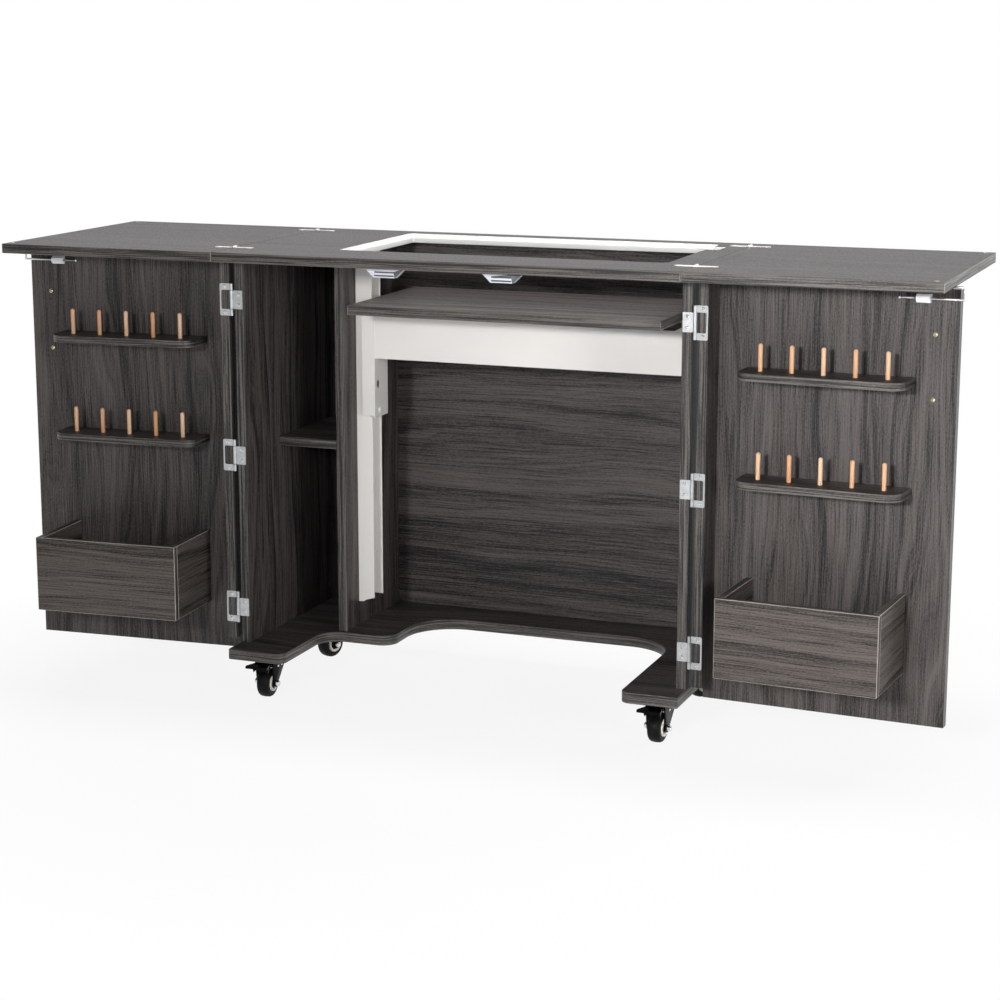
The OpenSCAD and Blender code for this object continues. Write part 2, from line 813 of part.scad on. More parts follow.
module bin_bottom(side) {
    color(charcoal) at_door(side)
        block([bin_start + bin_board, bin_front_face + bin_board, bin_bottom_height],
            [bin_end - bin_board, door_inner, bin_bottom_height + bin_board]);
}

// Frame plates on the stile's front edge, with the end knuckles and the pin
module hinge_frames(side) {
    rim = 2.5;
    window_height = side_plate_height + 1;
    end_knuckle = (frame_plate_height - side_plate_height) / 2 - slip;
    low = -frame_plate_height / 2;
    color(zinc) at_door(side) for (z = door_hinge_heights) translate([0, 0, z]) {
        difference() {
            block([barrel / 2 - 1, stile_front - hinge_plate, low],
                [door_gap + board, stile_front, -low]);
            block([0, -1, -window_height / 2], [door_gap + board - rim, stile_front + 1, window_height / 2]);
        }
        for (from = [low, -low - end_knuckle]) translate([0, 0, from]) rod(barrel, end_knuckle);
        translate([0, 0, low + 1]) rod(hinge_pin, frame_plate_height - 2);
    }
}

// Distance from the hinge pins back to a door's support wire
function wire_y(side) = door_inner - wire_offsets[side == left ? 0 : 1];

// Distance from the hinge pins out to the axis of the wire's upright arm
function wire_arm(side) = (leaf_outer + wire_gap + wire / 2 - hinge_x - wire_y(side) * sin(door_rest))
    / cos(door_rest);

wire_height = top_underside - wire_drop;

module wire_clip(side) {
    front = wire_y(side) - wire / 2 - 3;
    clip_place = wire_arm(side) - clip_inset;
    color(cream) at_door(side) difference() {
        translate([clip_place - clip_length / 2, 0, wire_height]) {
            block([0, front + clip_height * 0.3, -clip_height / 2],
                [clip_length, door_inner, clip_height / 2]);
            block([0, front, -clip_height * 0.3], [clip_length, door_inner, clip_height * 0.3]);
        }
        translate([0, wire_y(side), wire_height]) rod_x(wire + 2 * running_fit, clip_place - clip_length,
            clip_place + clip_length);
    }
}

// Support wire: its tip lies beneath the leaf's outer end and holds door and leaf together
module support_wire(side) {
    y = wire_y(side);
    arm_x = wire_arm(side);
    wire_start = arm_x - wire_bar;
    arm_top = top_underside - slip - wire / 2;
    color(zinc) at_door(side) translate([0, y, 0]) {
        translate([0, 0, wire_height]) {
            rod_x(wire, wire_start, arm_x);
            translate([arm_x, 0, 0]) sphere(d = wire, $fn = 24);
            translate([wire_start, 0, 0]) sphere(d = wire, $fn = 24);
            translate([wire_start, 0, 0]) rod_y(wire, -wire_bend, 0);
        }
        translate([arm_x, 0, wire_height]) rod(wire, arm_top - wire_height);
        translate([0, 0, arm_top]) {
            translate([arm_x, 0, 0]) sphere(d = wire, $fn = 24);
            rod_x(wire, arm_x - wire_tip, arm_x);
        }
    }
}

// Bar pull on the door's outer face, with its two screws through the panel
module pull(side) {
    bar_y = door_outer + pull_clearance + pull_bar / 2;
    overhang = 14;
    post = pull_bar - 2;
    screw_head = 7;
    color(zinc) at_door(side) translate([pull_place, 0, 0]) {
        translate([0, bar_y, pull_top - pull_centres - overhang])
            rod(pull_bar, pull_centres + 2 * overhang);
        for (z = [pull_top, pull_top - pull_centres]) translate([0, 0, z]) {
            rod_y(post, door_outer, bar_y);
            rod_y(pull_screw, door_inner - eps, door_outer + 1);
            rod_y(screw_head, door_inner - 1.2, door_inner);
        }
    }
}

// Steel plate on the door that the magnetic catch holds
module strike_plate_on(side) {
    along = hinge_x - catch_place;
    high = door_top - 1;
    color(zinc) at_door(side)
        block([along - catch_tip / 2, door_inner - strike_plate, high - catch_height / 2],
            [along + catch_tip / 2, door_inner, high]);
}

// Leaves

module leaf(side) {
    color(top_grey) stand() on_side(side) difference() {
        block([leaf_inner, 0, top_underside], [leaf_outer, top_depth, top_height]);
        leaf_hinge_pockets();
    }
}

module leaf_hinges(side) {
    middle = middle_knuckle() + slip;
    end = leaf_plate_lobe / 2;
    color(zinc) stand() on_side(side) for (y = leaf_hinge_places()) translate([joint_x, y, 0]) {
        leaf_hinge_half([[-end, -middle], [middle, end]], false);
        translate([0, 0, top_height + leaf_pin_height]) rod_y(leaf_pin, -end, end);
    }
}

module leaf_bumpers(side) {
    color([0.85, 0.88, 0.80]) stand() on_side(side)
        for (y = [bumper_front, top_depth - bumper_back])
            translate([leaf_outer - bumper_inset, y, top_height]) {
                rod(bumper, bumper_height / 2);
                translate([0, 0, bumper_height / 2]) rod(bumper * 0.75, bumper_height / 2);
            }
}

// Casters: x runs along the axle, y runs back, and the wheel trails towards the front

caster_height = base_bottom;
wheel_radius = wheel / 2;
leg_inside = wheel_width / 2 + 1.5;
leg_outside = leg_inside + fork_plate;
head_low = wheel + 13.5;
head_high = caster_height - fork_plate - slip;
rod_y_place = -caster_trail - 8;
rod_z_place = wheel + 8;

module at_caster(i) {
    x = (side_outer - caster_inset) * (i % 2 == 0 ? left : right);
    y = i < 2 ? caster_front : carcass_back - caster_back_inset;
    stand() translate([x, y, 0]) rotate([0, 0, caster_turns[i]]) children();
}

// Fixed plates screwed to the base, each with the stem that its fork turns on
module caster_plates() {
    plate = 44;
    flange = 2;
    color(black) for (i = [0:3]) at_caster(i) rotate([0, 0, -caster_turns[i]]) {
        block([-plate / 2, -plate / 2, caster_height - fork_plate], [plate / 2, plate / 2, caster_height]);
        translate([0, 0, head_low - slip]) rod(stem, caster_height - fork_plate - head_low + slip + eps);
        translate([0, 0, head_low - slip - flange]) rod(stem + 6, flange);
    }
}

// Fork with its axle and nuts; the front ones also hold the brake rod
module fork(i) {
    head = 40;
    leg_front = rod_y_place - 5;
    leg_back = 26;
    foot = 7;
    nut = 10;
    nut_thickness = 5;
    color(black) at_caster(i) {
        difference() {
            union() {
                block([-leg_outside, leg_front, head_low], [leg_outside, leg_back, head_low + 2 * fork_plate]);
                translate([0, 0, head_low]) rod(head - 4, 2 * fork_plate);
                translate([0, 0, head_low + 2 * fork_plate - eps])
                    rod(head, head_high - head_low - 2 * fork_plate + eps);
            }
            translate([0, 0, head_low - 1]) rod(stem + 2 * running_fit, caster_height - head_low + 1);
        }
        for (x = [-leg_outside, leg_inside]) translate([x, 0, 0]) {
            rotate([90, 0, 90]) linear_extrude(fork_plate) polygon([
                [leg_front, head_low + 1], [-caster_trail - foot, wheel_radius],
                [-caster_trail + foot, wheel_radius], [leg_back, head_low + 1]
            ]);
            translate([0, -caster_trail, wheel_radius]) rod_x(2 * foot, 0, fork_plate);
        }
        translate([0, -caster_trail, wheel_radius]) {
            rod_x(axle, -leg_outside - nut_thickness - 1, leg_outside + nut_thickness + 1);
            for (x = [-leg_outside - nut_thickness, leg_outside])
                translate([x, 0, 0]) rotate([0, 90, 0]) cylinder(d = nut, h = nut_thickness, $fn = 6);
        }
        if (i < 2) translate([0, rod_y_place, rod_z_place]) rod_x(brake_rod, -leg_outside, leg_outside);
    }
}

// Half of a wheel's section, as radius and distance along the axle from the middle
function wheel_half() =
    let (
        shoulder = 6,
        boss = wheel_radius * 0.26,
        rim_inside = wheel_radius * 0.4,
        rim = wheel_radius * 0.57,
        half = wheel_width / 2,
        tyre_half = tyre_width / 2
    )
    concat(
        [[axle / 2 + running_fit, 0], [axle / 2 + running_fit, half], [boss, half], [boss, half - 3],
            [rim_inside, half - 3], [rim_inside, half], [rim, half], [rim, tyre_half - 0.6],
            [rim + 1, tyre_half]],
        [for (a = [90:-15:0]) [wheel_radius - 0.4 - shoulder + shoulder * cos(a),
            tyre_half - shoulder + shoulder * sin(a)]],
        [[wheel_radius, 0]]
    );

module wheel_of(i) {
    half = wheel_half();
    n = len(half);
    other = [for (k = [n - 2:-1:1]) [half[k].x, -half[k].y]];
    color(black) at_caster(i) translate([0, -caster_trail, wheel_radius]) rotate([0, 90, 0])
        rotate_extrude($fn = 64) polygon(concat(half, other));
}

// Brake pedal that turns on the rod between the legs of a front fork
module pedal(i) {
    hub = 8;
    half = leg_inside - 2;
    neck = 3.5;
    tab = 4.5;
    tab_front = -36;
    tab_back = -9;
    shoe = [-11, -8];
    shoe_low = -10.5;
    bar_back = -16;
    bar_low = -6;
    prong = 3;
    prong_low = -10;
    color(black) at_caster(i) translate([0, rod_y_place, rod_z_place]) difference() {
        union() {
            rod_x(hub, -half, half);
            block([-half, shoe[0], -neck / 2], [half, 0, neck / 2]);
            block([-half, shoe[0], shoe_low], [half, shoe[1], neck / 2]);
            translate([0, 0, neck / 2 - 1]) linear_extrude(tab) polygon([
                [-pedal_width / 2, tab_front], [pedal_width / 2, tab_front],
                [pedal_width / 2, tab_front + 5], [half, tab_back], [-half, tab_back],
                [-pedal_width / 2, tab_front + 5]
            ]);
            // Bar beneath the tab, with a prong at each end
            translate([0, bar_back, 0]) rotate([90, 0, 0]) linear_extrude(prong) polygon([
                [-half - prong, 1], [-half - 1, prong_low], [prong - half, bar_low],
                [half - prong, bar_low], [half + 1, prong_low], [half + prong, 1]
            ]);
        }
        rod_x(brake_rod + 2 * running_fit, -pedal_width, pedal_width);
    }
}

base_panel();
side_panel(left);  // left_side_panel
side_panel(right);  // right_side_panel
divider_panel();
back_panel();
compartment_shelf();
centre_top();
opening_liner();
lift_rails();
door_catches();
cover_caps();
side_hinge_plates();
top_hinge_plates();
caster_plates();
lift_platform();
lift_brackets();
lift_apron();
glide_blocks();
lift_bolts();
door_panel(left);  // left_door_panel
door_stile(left);  // left_door_stile
thread_shelves(left);  // left_thread_shelves
thread_pegs(left);  // left_thread_pegs
bin_front(left);  // left_bin_front
bin_sides(left);  // left_bin_sides
bin_bottom(left);  // left_bin_bottom
hinge_frames(left);  // left_hinge_frames
wire_clip(left);  // left_wire_clip
pull(left);  // left_pull
strike_plate_on(left);  // left_strike_plate
support_wire(left);  // left_support_wire
door_panel(right);  // right_door_panel
door_stile(right);  // right_door_stile
thread_shelves(right);  // right_thread_shelves
thread_pegs(right);  // right_thread_pegs
bin_front(right);  // right_bin_front
bin_sides(right);  // right_bin_sides
bin_bottom(right);  // right_bin_bottom
hinge_frames(right);  // right_hinge_frames
wire_clip(right);  // right_wire_clip
pull(right);  // right_pull
strike_plate_on(right);  // right_strike_plate
support_wire(right);  // right_support_wire
leaf(left);  // left_leaf
leaf_hinges(left);  // left_leaf_hinges
leaf_bumpers(left);  // left_leaf_bumpers
leaf(right);  // right_leaf
leaf_hinges(right);  // right_leaf_hinges
leaf_bumpers(right);  // right_leaf_bumpers
fork(0);  // front_left_fork
fork(1);  // front_right_fork
fork(2);  // back_left_fork
fork(3);  // back_right_fork
wheel_of(0);  // front_left_wheel
wheel_of(1);  // front_right_wheel
wheel_of(2);  // back_left_wheel
wheel_of(3);  // back_right_wheel
pedal(0);  // front_left_pedal
pedal(1);  // front_right_pedal
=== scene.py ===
"""Sewing cabinet opened out for work: laminate boards, white lift, zinc hinges and casters.

Nearly every board and fitting starts as a merged copy of its CAD solid, so that it stays where
the solid is, and gets eased edges. Boards get a grain that follows them. The door hinges are
made here of sheet metal and turned knuckles, and the fasteners by node trees.
"""

import math

import bmesh
import bpy
from mathutils import Matrix, Vector


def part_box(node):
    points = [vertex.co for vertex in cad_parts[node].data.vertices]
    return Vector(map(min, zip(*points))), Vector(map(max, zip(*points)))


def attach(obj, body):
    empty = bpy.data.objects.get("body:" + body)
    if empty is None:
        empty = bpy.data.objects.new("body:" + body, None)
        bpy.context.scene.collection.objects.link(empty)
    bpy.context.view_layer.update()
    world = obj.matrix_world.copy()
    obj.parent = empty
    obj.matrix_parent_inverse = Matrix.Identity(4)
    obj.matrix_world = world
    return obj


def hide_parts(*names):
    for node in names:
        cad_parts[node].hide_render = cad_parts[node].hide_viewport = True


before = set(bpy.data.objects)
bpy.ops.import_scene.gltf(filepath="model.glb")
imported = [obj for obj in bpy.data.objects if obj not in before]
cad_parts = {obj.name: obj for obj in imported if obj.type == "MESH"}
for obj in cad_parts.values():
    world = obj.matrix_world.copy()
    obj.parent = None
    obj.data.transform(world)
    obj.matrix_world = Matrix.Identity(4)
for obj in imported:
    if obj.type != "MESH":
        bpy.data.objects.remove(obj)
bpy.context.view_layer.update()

MM = 0.001
X, Y, Z = Vector((1, 0, 0)), Vector((0, 1, 0)), Vector((0, 0, 1))
SIDES = (("left", -1), ("right", 1))
WHITE = (1.0, 1.0, 1.0, 1.0)

# Places in metres. "From the front" means from the front edge of the top.
ORIGIN_BACK = 0.2041184             # the origin, from the front
TOP = 0.768                         # upper face of the top, above the floor
LEAF_JOINT = 0.3975                 # joint of leaf and centre, from the middle
LEAF_HINGES_BACK = (0.084, 0.404)   # leaf hinges, from the front
DOOR_PIN, DOOR_PIN_BACK = 0.400, 0.074      # door hinge pins, from the middle and the front
DOOR_HINGE_HEIGHTS = (0.155, 0.4185, 0.682)
DOOR_REST = math.radians(3.8)       # what the open doors lack of lying in line with the front

# Casters: millimetres from the middle and the front, and degrees that the fork is turned
CASTERS = (("front_left", -350, 97, 1), ("front_right", 350, 97, -4),
           ("back_left", -350, 364, -20), ("back_right", 350, 364, -30))


def linear(red, green, blue):
    """A colour as it is written on screen, from 0 to 255, as a shader takes it."""
    def one(c):
        c /= 255
        return c / 12.92 if c <= 0.04045 else ((c + 0.055) / 1.055) ** 2.4
    return one(red), one(green), one(blue), 1.0


def spot(x, y, z):
    """A point in metres from millimetres right of the middle, back from the front, and up."""
    return Vector((x * MM, y * MM - ORIGIN_BACK, z * MM))


# ---------------------------------------------------------------- finishes

class Nodes:
    """A node tree, with short calls for what goes into it."""

    def __init__(self, tree):
        self.tree = tree

    def add(self, kind, feeds=None, **settings):
        node = self.tree.nodes.new(kind)
        for key, value in settings.items():
            setattr(node, key, value)
        for socket, value in (feeds or {}).items():
            self.feed(node.inputs[socket], value)
        return node

    def feed(self, socket, value):
        """Links a socket to the value if that is a socket too, and otherwise sets it."""
        if isinstance(value, bpy.types.NodeSocket):
            self.tree.links.new(value, socket)
        else:
            socket.default_value = value

    def maths(self, operation, *values, clamp=False):
        feeds = dict(enumerate(values))
        return self.add("ShaderNodeMath", feeds, operation=operation, use_clamp=clamp).outputs[0]

    def range(self, value, low, high, to_low=0.0, to_high=1.0):
        feeds = dict(enumerate((value, low, high, to_low, to_high)))
        return self.add("ShaderNodeMapRange", feeds).outputs[0]

    def blend(self, share, first, second):
        """Mixes two shader nodes."""
        feeds = {0: share, 1: first.outputs[0], 2: second.outputs[0]}
        return self.add("ShaderNodeMixShader", feeds)


class Finish(Nodes):
    """One material, with short calls for the nodes that make it."""

    def __init__(self, name, **sockets):
        self.material = bpy.data.materials.new(name)
        self.material.use_nodes = True
        super().__init__(self.material.node_tree)
        self.shader = self.tree.nodes["Principled BSDF"]
        for socket, value in sockets.items():
            self.shader.inputs[socket.replace("_", " ")].default_value = value

    def place(self):
        return self.add("ShaderNodeTexCoord").outputs["Object"]

    def attribute(self, name):
        return self.add("ShaderNodeAttribute", attribute_name=name).outputs["Vector"]

    def stretch(self, vector, factors):
        feeds = {0: vector, 1: factors}
        return self.add("ShaderNodeVectorMath", feeds, operation="MULTIPLY").outputs[0]

    def noise(self, vector, scale=1.0, detail=2.0, roughness=0.5, distortion=0.0):
        return self.add("ShaderNodeTexNoise", {
            "Vector": vector, "Scale": scale, "Detail": detail, "Roughness": roughness,
            "Distortion": distortion}).outputs["Fac"]

    def nudge(self, noise, gain, base, clamp=False):
        """Moves the base up and down with a noise whose own middle is 0.5."""
        apart = self.maths("SUBTRACT", noise, 0.5)
        return self.maths("MULTIPLY_ADD", apart, gain, base, clamp=clamp)

    def mix(self, factor, a, b, blend="MIX"):
        feeds = {0: factor, 6: a, 7: b}
        return self.add("ShaderNodeMix", feeds, data_type="RGBA", blend_type=blend).outputs[2]

    def ramp(self, value, *stops):
        node = self.add("ShaderNodeValToRGB", {0: value})
        band = node.color_ramp.elements
        while len(band) < len(stops):
            band.new(0.5)
        for element, (at, colour) in zip(band, stops):
            element.position = at
            element.color = colour
        return node.outputs[0]

    def surface(self, colour, roughness, height, strength, distance):
        """Gives the shader its colour, roughness and bump, and returns the material."""
        bump = self.add("ShaderNodeBump",
                        {"Strength": strength, "Distance": distance, "Height": height})
        self.feed(self.shader.inputs["Base Color"], colour)
        self.feed(self.shader.inputs["Roughness"], roughness)
        self.feed(self.shader.inputs["Normal"], bump.outputs[0])
        return self.material


def darker(colour, share):
    return tuple(c * (1 - share) for c in colour[:3]) + (1.0,)


# Cycles per metre along the grain and across it. The third number leaves a board's own as it is.
SWAY, LOOPS, TINT = (1.3, 3.0, 1.0), (2.4, 13.0, 1.0), (0.8, 16.0, 1.0)
FIBRE, PORES = (9.0, 900.0, 1.0), (210.0, 520.0, 1.0)
LINE_RUN = 0.17                         # the same for the dark lines, along the grain
SWAY_WIDTH, LOOP_WIDTH = 0.16, 0.075    # metres by which sway and loops push the lines aside
MIDDLE = 0.56                           # tone without lines, fibre and pores
LINE_GAIN, FIBRE_GAIN, PORE_GAIN = 3.5, 2.6, 6.0
BROWN = (1.0, 0.93, 0.86, 1.0)          # tint that parts of a board are multiplied by


def woodgrain(name, dark, mid, light, density=25.0, contrast=1.0, speckle=0.10, flow=1.0,
              rough=(0.42, 0.58), gloss=0.5, brown=0.5):
    """Printed woodgrain laminate. Its dark lines follow the board's own grain attribute.

    The lines are the contours of a slowly swaying field, so they run long and straight, crowd
    together, and here and there close into a loop, as the print does. Density is in lines a
    metre, and rough is for the lightest and the darkest tone."""
    f = Finish(name, IOR=1.46, Specular_IOR_Level=gloss)
    grain = f.attribute("grain")
    sway = f.noise(f.stretch(grain, SWAY), detail=1.0)
    loops = f.noise(f.stretch(grain, LOOPS), roughness=0.42)
    apart = f.add("ShaderNodeSeparateXYZ", {0: grain}).outputs
    field = f.nudge(sway, SWAY_WIDTH * flow, apart["Y"])
    field = f.nudge(loops, LOOP_WIDTH * flow, field)
    contour = f.add("ShaderNodeCombineXYZ", {
        "X": f.maths("MULTIPLY", apart["X"], LINE_RUN),
        "Y": f.maths("MULTIPLY", field, density), "Z": apart["Z"]})
    lines = f.noise(contour.outputs[0], detail=5.0, roughness=0.86)
    fibre = f.noise(f.stretch(grain, FIBRE), roughness=0.6)
    pores = f.noise(f.stretch(grain, PORES), roughness=0.7)
    tone = f.nudge(lines, LINE_GAIN * contrast, MIDDLE)
    tone = f.nudge(fibre, FIBRE_GAIN * contrast, tone)
    tone = f.nudge(pores, PORE_GAIN * speckle, tone, clamp=True)
    body = f.ramp(tone, (0.0, dark), (0.52, mid), (1.0, light))
    tint = f.noise(f.stretch(grain, TINT))
    body = f.mix(f.range(tint, 0.38, 0.64, to_high=brown), body, BROWN, "MULTIPLY")
    return f.surface(body, f.range(tone, 0.0, 1.0, rough[1], rough[0]), tone,
                     strength=0.20, distance=0.00025)


def painted_steel(name, colour, rough=0.42, speckle=0.03, gloss=0.5):
    """Powder coat with a faint orange peel."""
    f = Finish(name, IOR=1.5, Specular_IOR_Level=gloss)
    place = f.place()
    cloud = f.noise(place, scale=9.0, detail=3.0)
    peel = f.noise(place, scale=900.0)
    body = f.mix(f.range(cloud, 0.35, 0.65), colour, darker(colour, speckle))
    return f.surface(body, f.range(peel, 0.3, 0.7, rough - 0.05, rough + 0.06), peel,
                     strength=0.10, distance=0.0002)


def moulded_plastic(name, colour, rough=0.38, through=0.0, speckle=0.03):
    """Moulded plastic with a fine spark-eroded texture."""
    f = Finish(name, IOR=1.49, Transmission_Weight=through)
    place = f.place()
    cloud = f.noise(place, scale=14.0)
    grit = f.noise(place, scale=1400.0)
    body = f.mix(f.range(cloud, 0.3, 0.7), colour, darker(colour, speckle))
    return f.surface(body, f.range(grit, 0.3, 0.7, rough - 0.06, rough + 0.08), grit,
                     strength=0.08, distance=0.00015)


def plated_metal(name, colour, dull, rough=0.30, grain=(1.0, 1.0, 1.0), cells=260.0, metal=1.0):
    """Plated or brushed metal: cloudy spangle, fine scratches along one direction."""
    f = Finish(name, Metallic=metal)
    place = f.place()
    spangle = f.noise(place, scale=cells, distortion=0.6)
    scratch = f.noise(f.stretch(place, grain), scale=900.0, detail=3.0, roughness=0.7)
    body = f.mix(f.range(spangle, 0.36, 0.64), colour, dull)
    return f.surface(body, f.range(scratch, 0.3, 0.7, rough - 0.08, rough + 0.12), scratch,
                     strength=0.12, distance=0.00012)


def dowel_wood(name):
    """Pale dowel wood, each peg a little different, with a fine grain along its length."""
    f = Finish(name, IOR=1.45)
    place = f.place()
    peg_tone = f.noise(f.stretch(place, (23.0, 17.0, 2.1)), detail=0.0)
    fibre = f.noise(f.stretch(place, (900.0, 900.0, 40.0)), detail=3.0, roughness=0.6)
    blotch = f.noise(f.stretch(place, (160.0, 160.0, 60.0)))
    body = f.ramp(peg_tone, (0.34, linear(224, 166, 122)), (0.50, linear(238, 190, 150)),
                  (0.68, linear(246, 212, 178)))
    body = f.mix(f.range(fibre, 0.35, 0.75, to_high=0.45), body, linear(205, 140, 96))
    body = f.mix(f.range(blotch, 0.56, 0.72, to_high=0.25), body, linear(196, 124, 84))
    return f.surface(body, f.range(fibre, 0.3, 0.7, 0.50, 0.64), fibre,
                     strength=0.18, distance=0.0002)


def wheel_rubber(name):
    """Black tyre with a dusty, faintly streaked tread."""
    f = Finish(name, IOR=1.5, Specular_IOR_Level=0.12)
    place = f.place()
    dust = f.noise(place, scale=120.0, detail=4.0, roughness=0.6)
    grit = f.noise(place, scale=1700.0)
    body = f.mix(f.range(dust, 0.45, 0.75), linear(11, 11, 12), linear(26, 25, 25))
    return f.surface(body, f.range(dust, 0.3, 0.7, 0.38, 0.62), grit,
                     strength=0.15, distance=0.0002)


GRAIN = linear(14, 12, 13), linear(68, 64, 63), linear(92, 87, 85)
LAMINATE = woodgrain("charcoal woodgrain laminate", *GRAIN, speckle=0.24, gloss=0.35)
STREAKED = woodgrain("charcoal laminate with close streaks", *GRAIN, density=60.0, contrast=1.5,
                     speckle=0.24, gloss=0.35)
BOX_LAMINATE = woodgrain("brownish woodgrain laminate", linear(18, 15, 13), linear(76, 70, 66),
                         linear(99, 92, 87), density=46.0, contrast=1.1, speckle=0.24, flow=0.5,
                         brown=0.25, gloss=0.35)
TOP_LAMINATE = woodgrain("work surface laminate", linear(40, 38, 38), linear(70, 66, 66),
                         linear(88, 84, 84), contrast=0.35, speckle=0.5, rough=(0.36, 0.48))
BAND = woodgrain("woodgrain edge band", linear(14, 12, 12), linear(62, 59, 57),
                 linear(106, 101, 96), density=230.0, contrast=2.0, speckle=0.2, flow=0.04,
                 brown=0.2, rough=(0.34, 0.46))
# The arris colour is a painted highlight: the light line that a rounded edge-band corner catches.
PAINTED_ARRIS_HIGHLIGHT = woodgrain("light arris of the edge band", linear(130, 122, 114), linear(172, 164, 155),
                  linear(196, 188, 178), contrast=0.3, flow=0.04)

WHITE_STEEL = painted_steel("white powder coat", linear(241, 238, 234))
BLACK_STEEL = painted_steel("gloss black enamel", linear(9, 9, 10), rough=0.24, speckle=0.3,
                            gloss=0.05)

LINER = moulded_plastic("moulded liner", linear(246, 246, 243), rough=0.30)
CATCH = moulded_plastic("catch plastic", linear(226, 230, 240), rough=0.35)
CAP = moulded_plastic("dark cap", linear(58, 54, 50), rough=0.45)
CREAM = moulded_plastic("cream hub ring", linear(246, 238, 224), rough=0.40, speckle=0.10)
CLEAR = moulded_plastic("clear bumper", linear(214, 220, 206), rough=0.25, through=0.55)
CLIP = moulded_plastic("translucent clip", linear(243, 244, 248), rough=0.32, through=0.08)
NYLON = moulded_plastic("white nylon", linear(234, 234, 230), rough=0.40)

CATCH_STEEL = plated_metal("catch steel strips", linear(96, 98, 102), linear(80, 82, 86),
                           rough=0.40, metal=0.4)
ZINC = plated_metal("bright zinc plate", linear(190, 191, 192), linear(176, 178, 180),
                    rough=0.36, cells=120.0)
# The same zinc for the plates on the top, painted lighter: its paleness is a painted reflection of
# the white surroundings they face.
REFLECTION_PAINTED_ZINC = plated_metal("pale zinc plate", linear(240, 236, 234), linear(228, 224, 222),
                         rough=0.45, cells=120.0)
SCREW_STEEL = plated_metal("bright screw steel", linear(232, 233, 235), linear(200, 202, 205),
                           rough=0.25)
BRASS = plated_metal("brass plate", linear(212, 200, 168), linear(176, 164, 132), rough=0.28)
BRUSHED = plated_metal("brushed nickel", linear(206, 203, 198), linear(176, 173, 168),
                       rough=0.32, grain=(1.0, 1.0, 0.05))
WIRE = plated_metal("bright drawn wire", linear(222, 222, 222), linear(206, 206, 206),
                    rough=0.28, grain=(0.1, 1.0, 1.0))

TYRE = wheel_rubber("black tyre")
PEG = dowel_wood("dowel wood")


# ---------------------------------------------------------------- shaping

SHARP = math.radians(32.0)      # edges that turn more are eased
CREASE = math.radians(20.0)     # and those that turn more than this keep a hard shade
FLAT = math.radians(0.4)        # faces that turn less are one face
BAND_FACE, ARRIS_FACE = 1, 2    # materials of a board, after that of its faces: the edge band, and the arris with its painted highlight
FACING = 0.6                    # least part of a normal along an axis that it faces
CURVED_EDGE = 0.9               # share of the way across that a curved edge's grain takes
SHIFT = (3.7, 0.61, 5.3)        # how far a board's number moves it through the print


def solid_of(node):
    """A merged copy of a CAD solid, its flat faces joined up again."""
    bm = bmesh.new()
    bm.from_mesh(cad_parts[node].data)
    bmesh.ops.remove_doubles(bm, verts=bm.verts[:], dist=2e-6)
    bmesh.ops.dissolve_limit(bm, angle_limit=FLAT, verts=bm.verts[:], edges=bm.edges[:])
    return bm


def ease(bm, width, segments=2, material=-1):
    """Rounds the sharp edges a little, as a real edge is."""
    edges = [e for e in bm.edges if e.is_manifold and e.calc_face_angle(0.0) > SHARP]
    if edges and width:
        bmesh.ops.bevel(bm, geom=edges, offset=width, offset_type="OFFSET", segments=segments,
                        profile=0.5, affect="EDGES", clamp_overlap=True, material=material)


def finished(name, bm, body, slot, materials, *nodes):
    """Turns a shape into a piece of the cabinet that rides on a body and stands for its nodes."""
    mesh = bpy.data.meshes.new(name)
    bm.to_mesh(mesh)
    bm.free()
    placed(name, mesh, body, slot, materials, *nodes)


def placed(name, mesh, body, slot, materials, *nodes):
    """Gives a mesh its materials and shading, and makes it a piece that rides on a body."""
    for polygon in mesh.polygons:
        polygon.use_smooth = True
    mesh.set_sharp_from_angle(angle=CREASE)
    kinds = [polygon.material_index for polygon in mesh.polygons]
    mesh.materials.clear()
    for material in materials:
        mesh.materials.append(material)
    for polygon, kind in zip(mesh.polygons, kinds):
        polygon.material_index = min(kind, len(materials) - 1)
    piece = bpy.data.objects.new(name, mesh)
    bpy.context.scene.collection.objects.link(piece)
    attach(piece, body)
    if nodes:
        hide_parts(*nodes)


def run_grain(bm, along, through, seed, curved=False):
    """Writes the grain attribute: metres along the grain, across it, and a number for the board.

    Grain runs along the board on its faces, and lengthwise on its edges."""
    layer = bm.loops.layers.float_vector.new("grain")
    across = through.cross(along)
    for face in bm.faces:
        n = face.normal
        if abs(n.dot(through)) > FACING:
            a, c = along, across
        elif curved:
            a, c = along + across * CURVED_EDGE, through
        else:
            a, c = n.cross(through).normalized(), through
        for loop in face.loops:
            p = loop.vert.co
            loop[layer] = (p.dot(a) + seed * SHIFT[0], p.dot(c) + seed * SHIFT[1], seed * SHIFT[2])


def board(node, body, along, through, seed, slot="laminate", curved=False, arris=0.9,
          laminate=LAMINATE, painted_highlight_edges=None):
    """A laminated board: woodgrain faces, edge bands, and the thin arris between them, which
    carries a painted highlight.

    The arris is in millimetres. The last argument picks, by its normal, which of the arrises carry
    the painted highlight, and the rest take the edge band; by default they all carry it."""
    bm = solid_of(node)
    ease(bm, arris * MM, material=ARRIS_FACE)
    bm.normal_update()
    for face in bm.faces:
        if face.material_index == ARRIS_FACE:
            if painted_highlight_edges and not painted_highlight_edges(face.normal):
                face.material_index = BAND_FACE
        elif abs(face.normal.dot(through)) < FACING:
            face.material_index = BAND_FACE
    run_grain(bm, along, through, seed, curved)
    finished(node + "_board", bm, body, slot, (laminate, BAND, PAINTED_ARRIS_HIGHLIGHT), node)


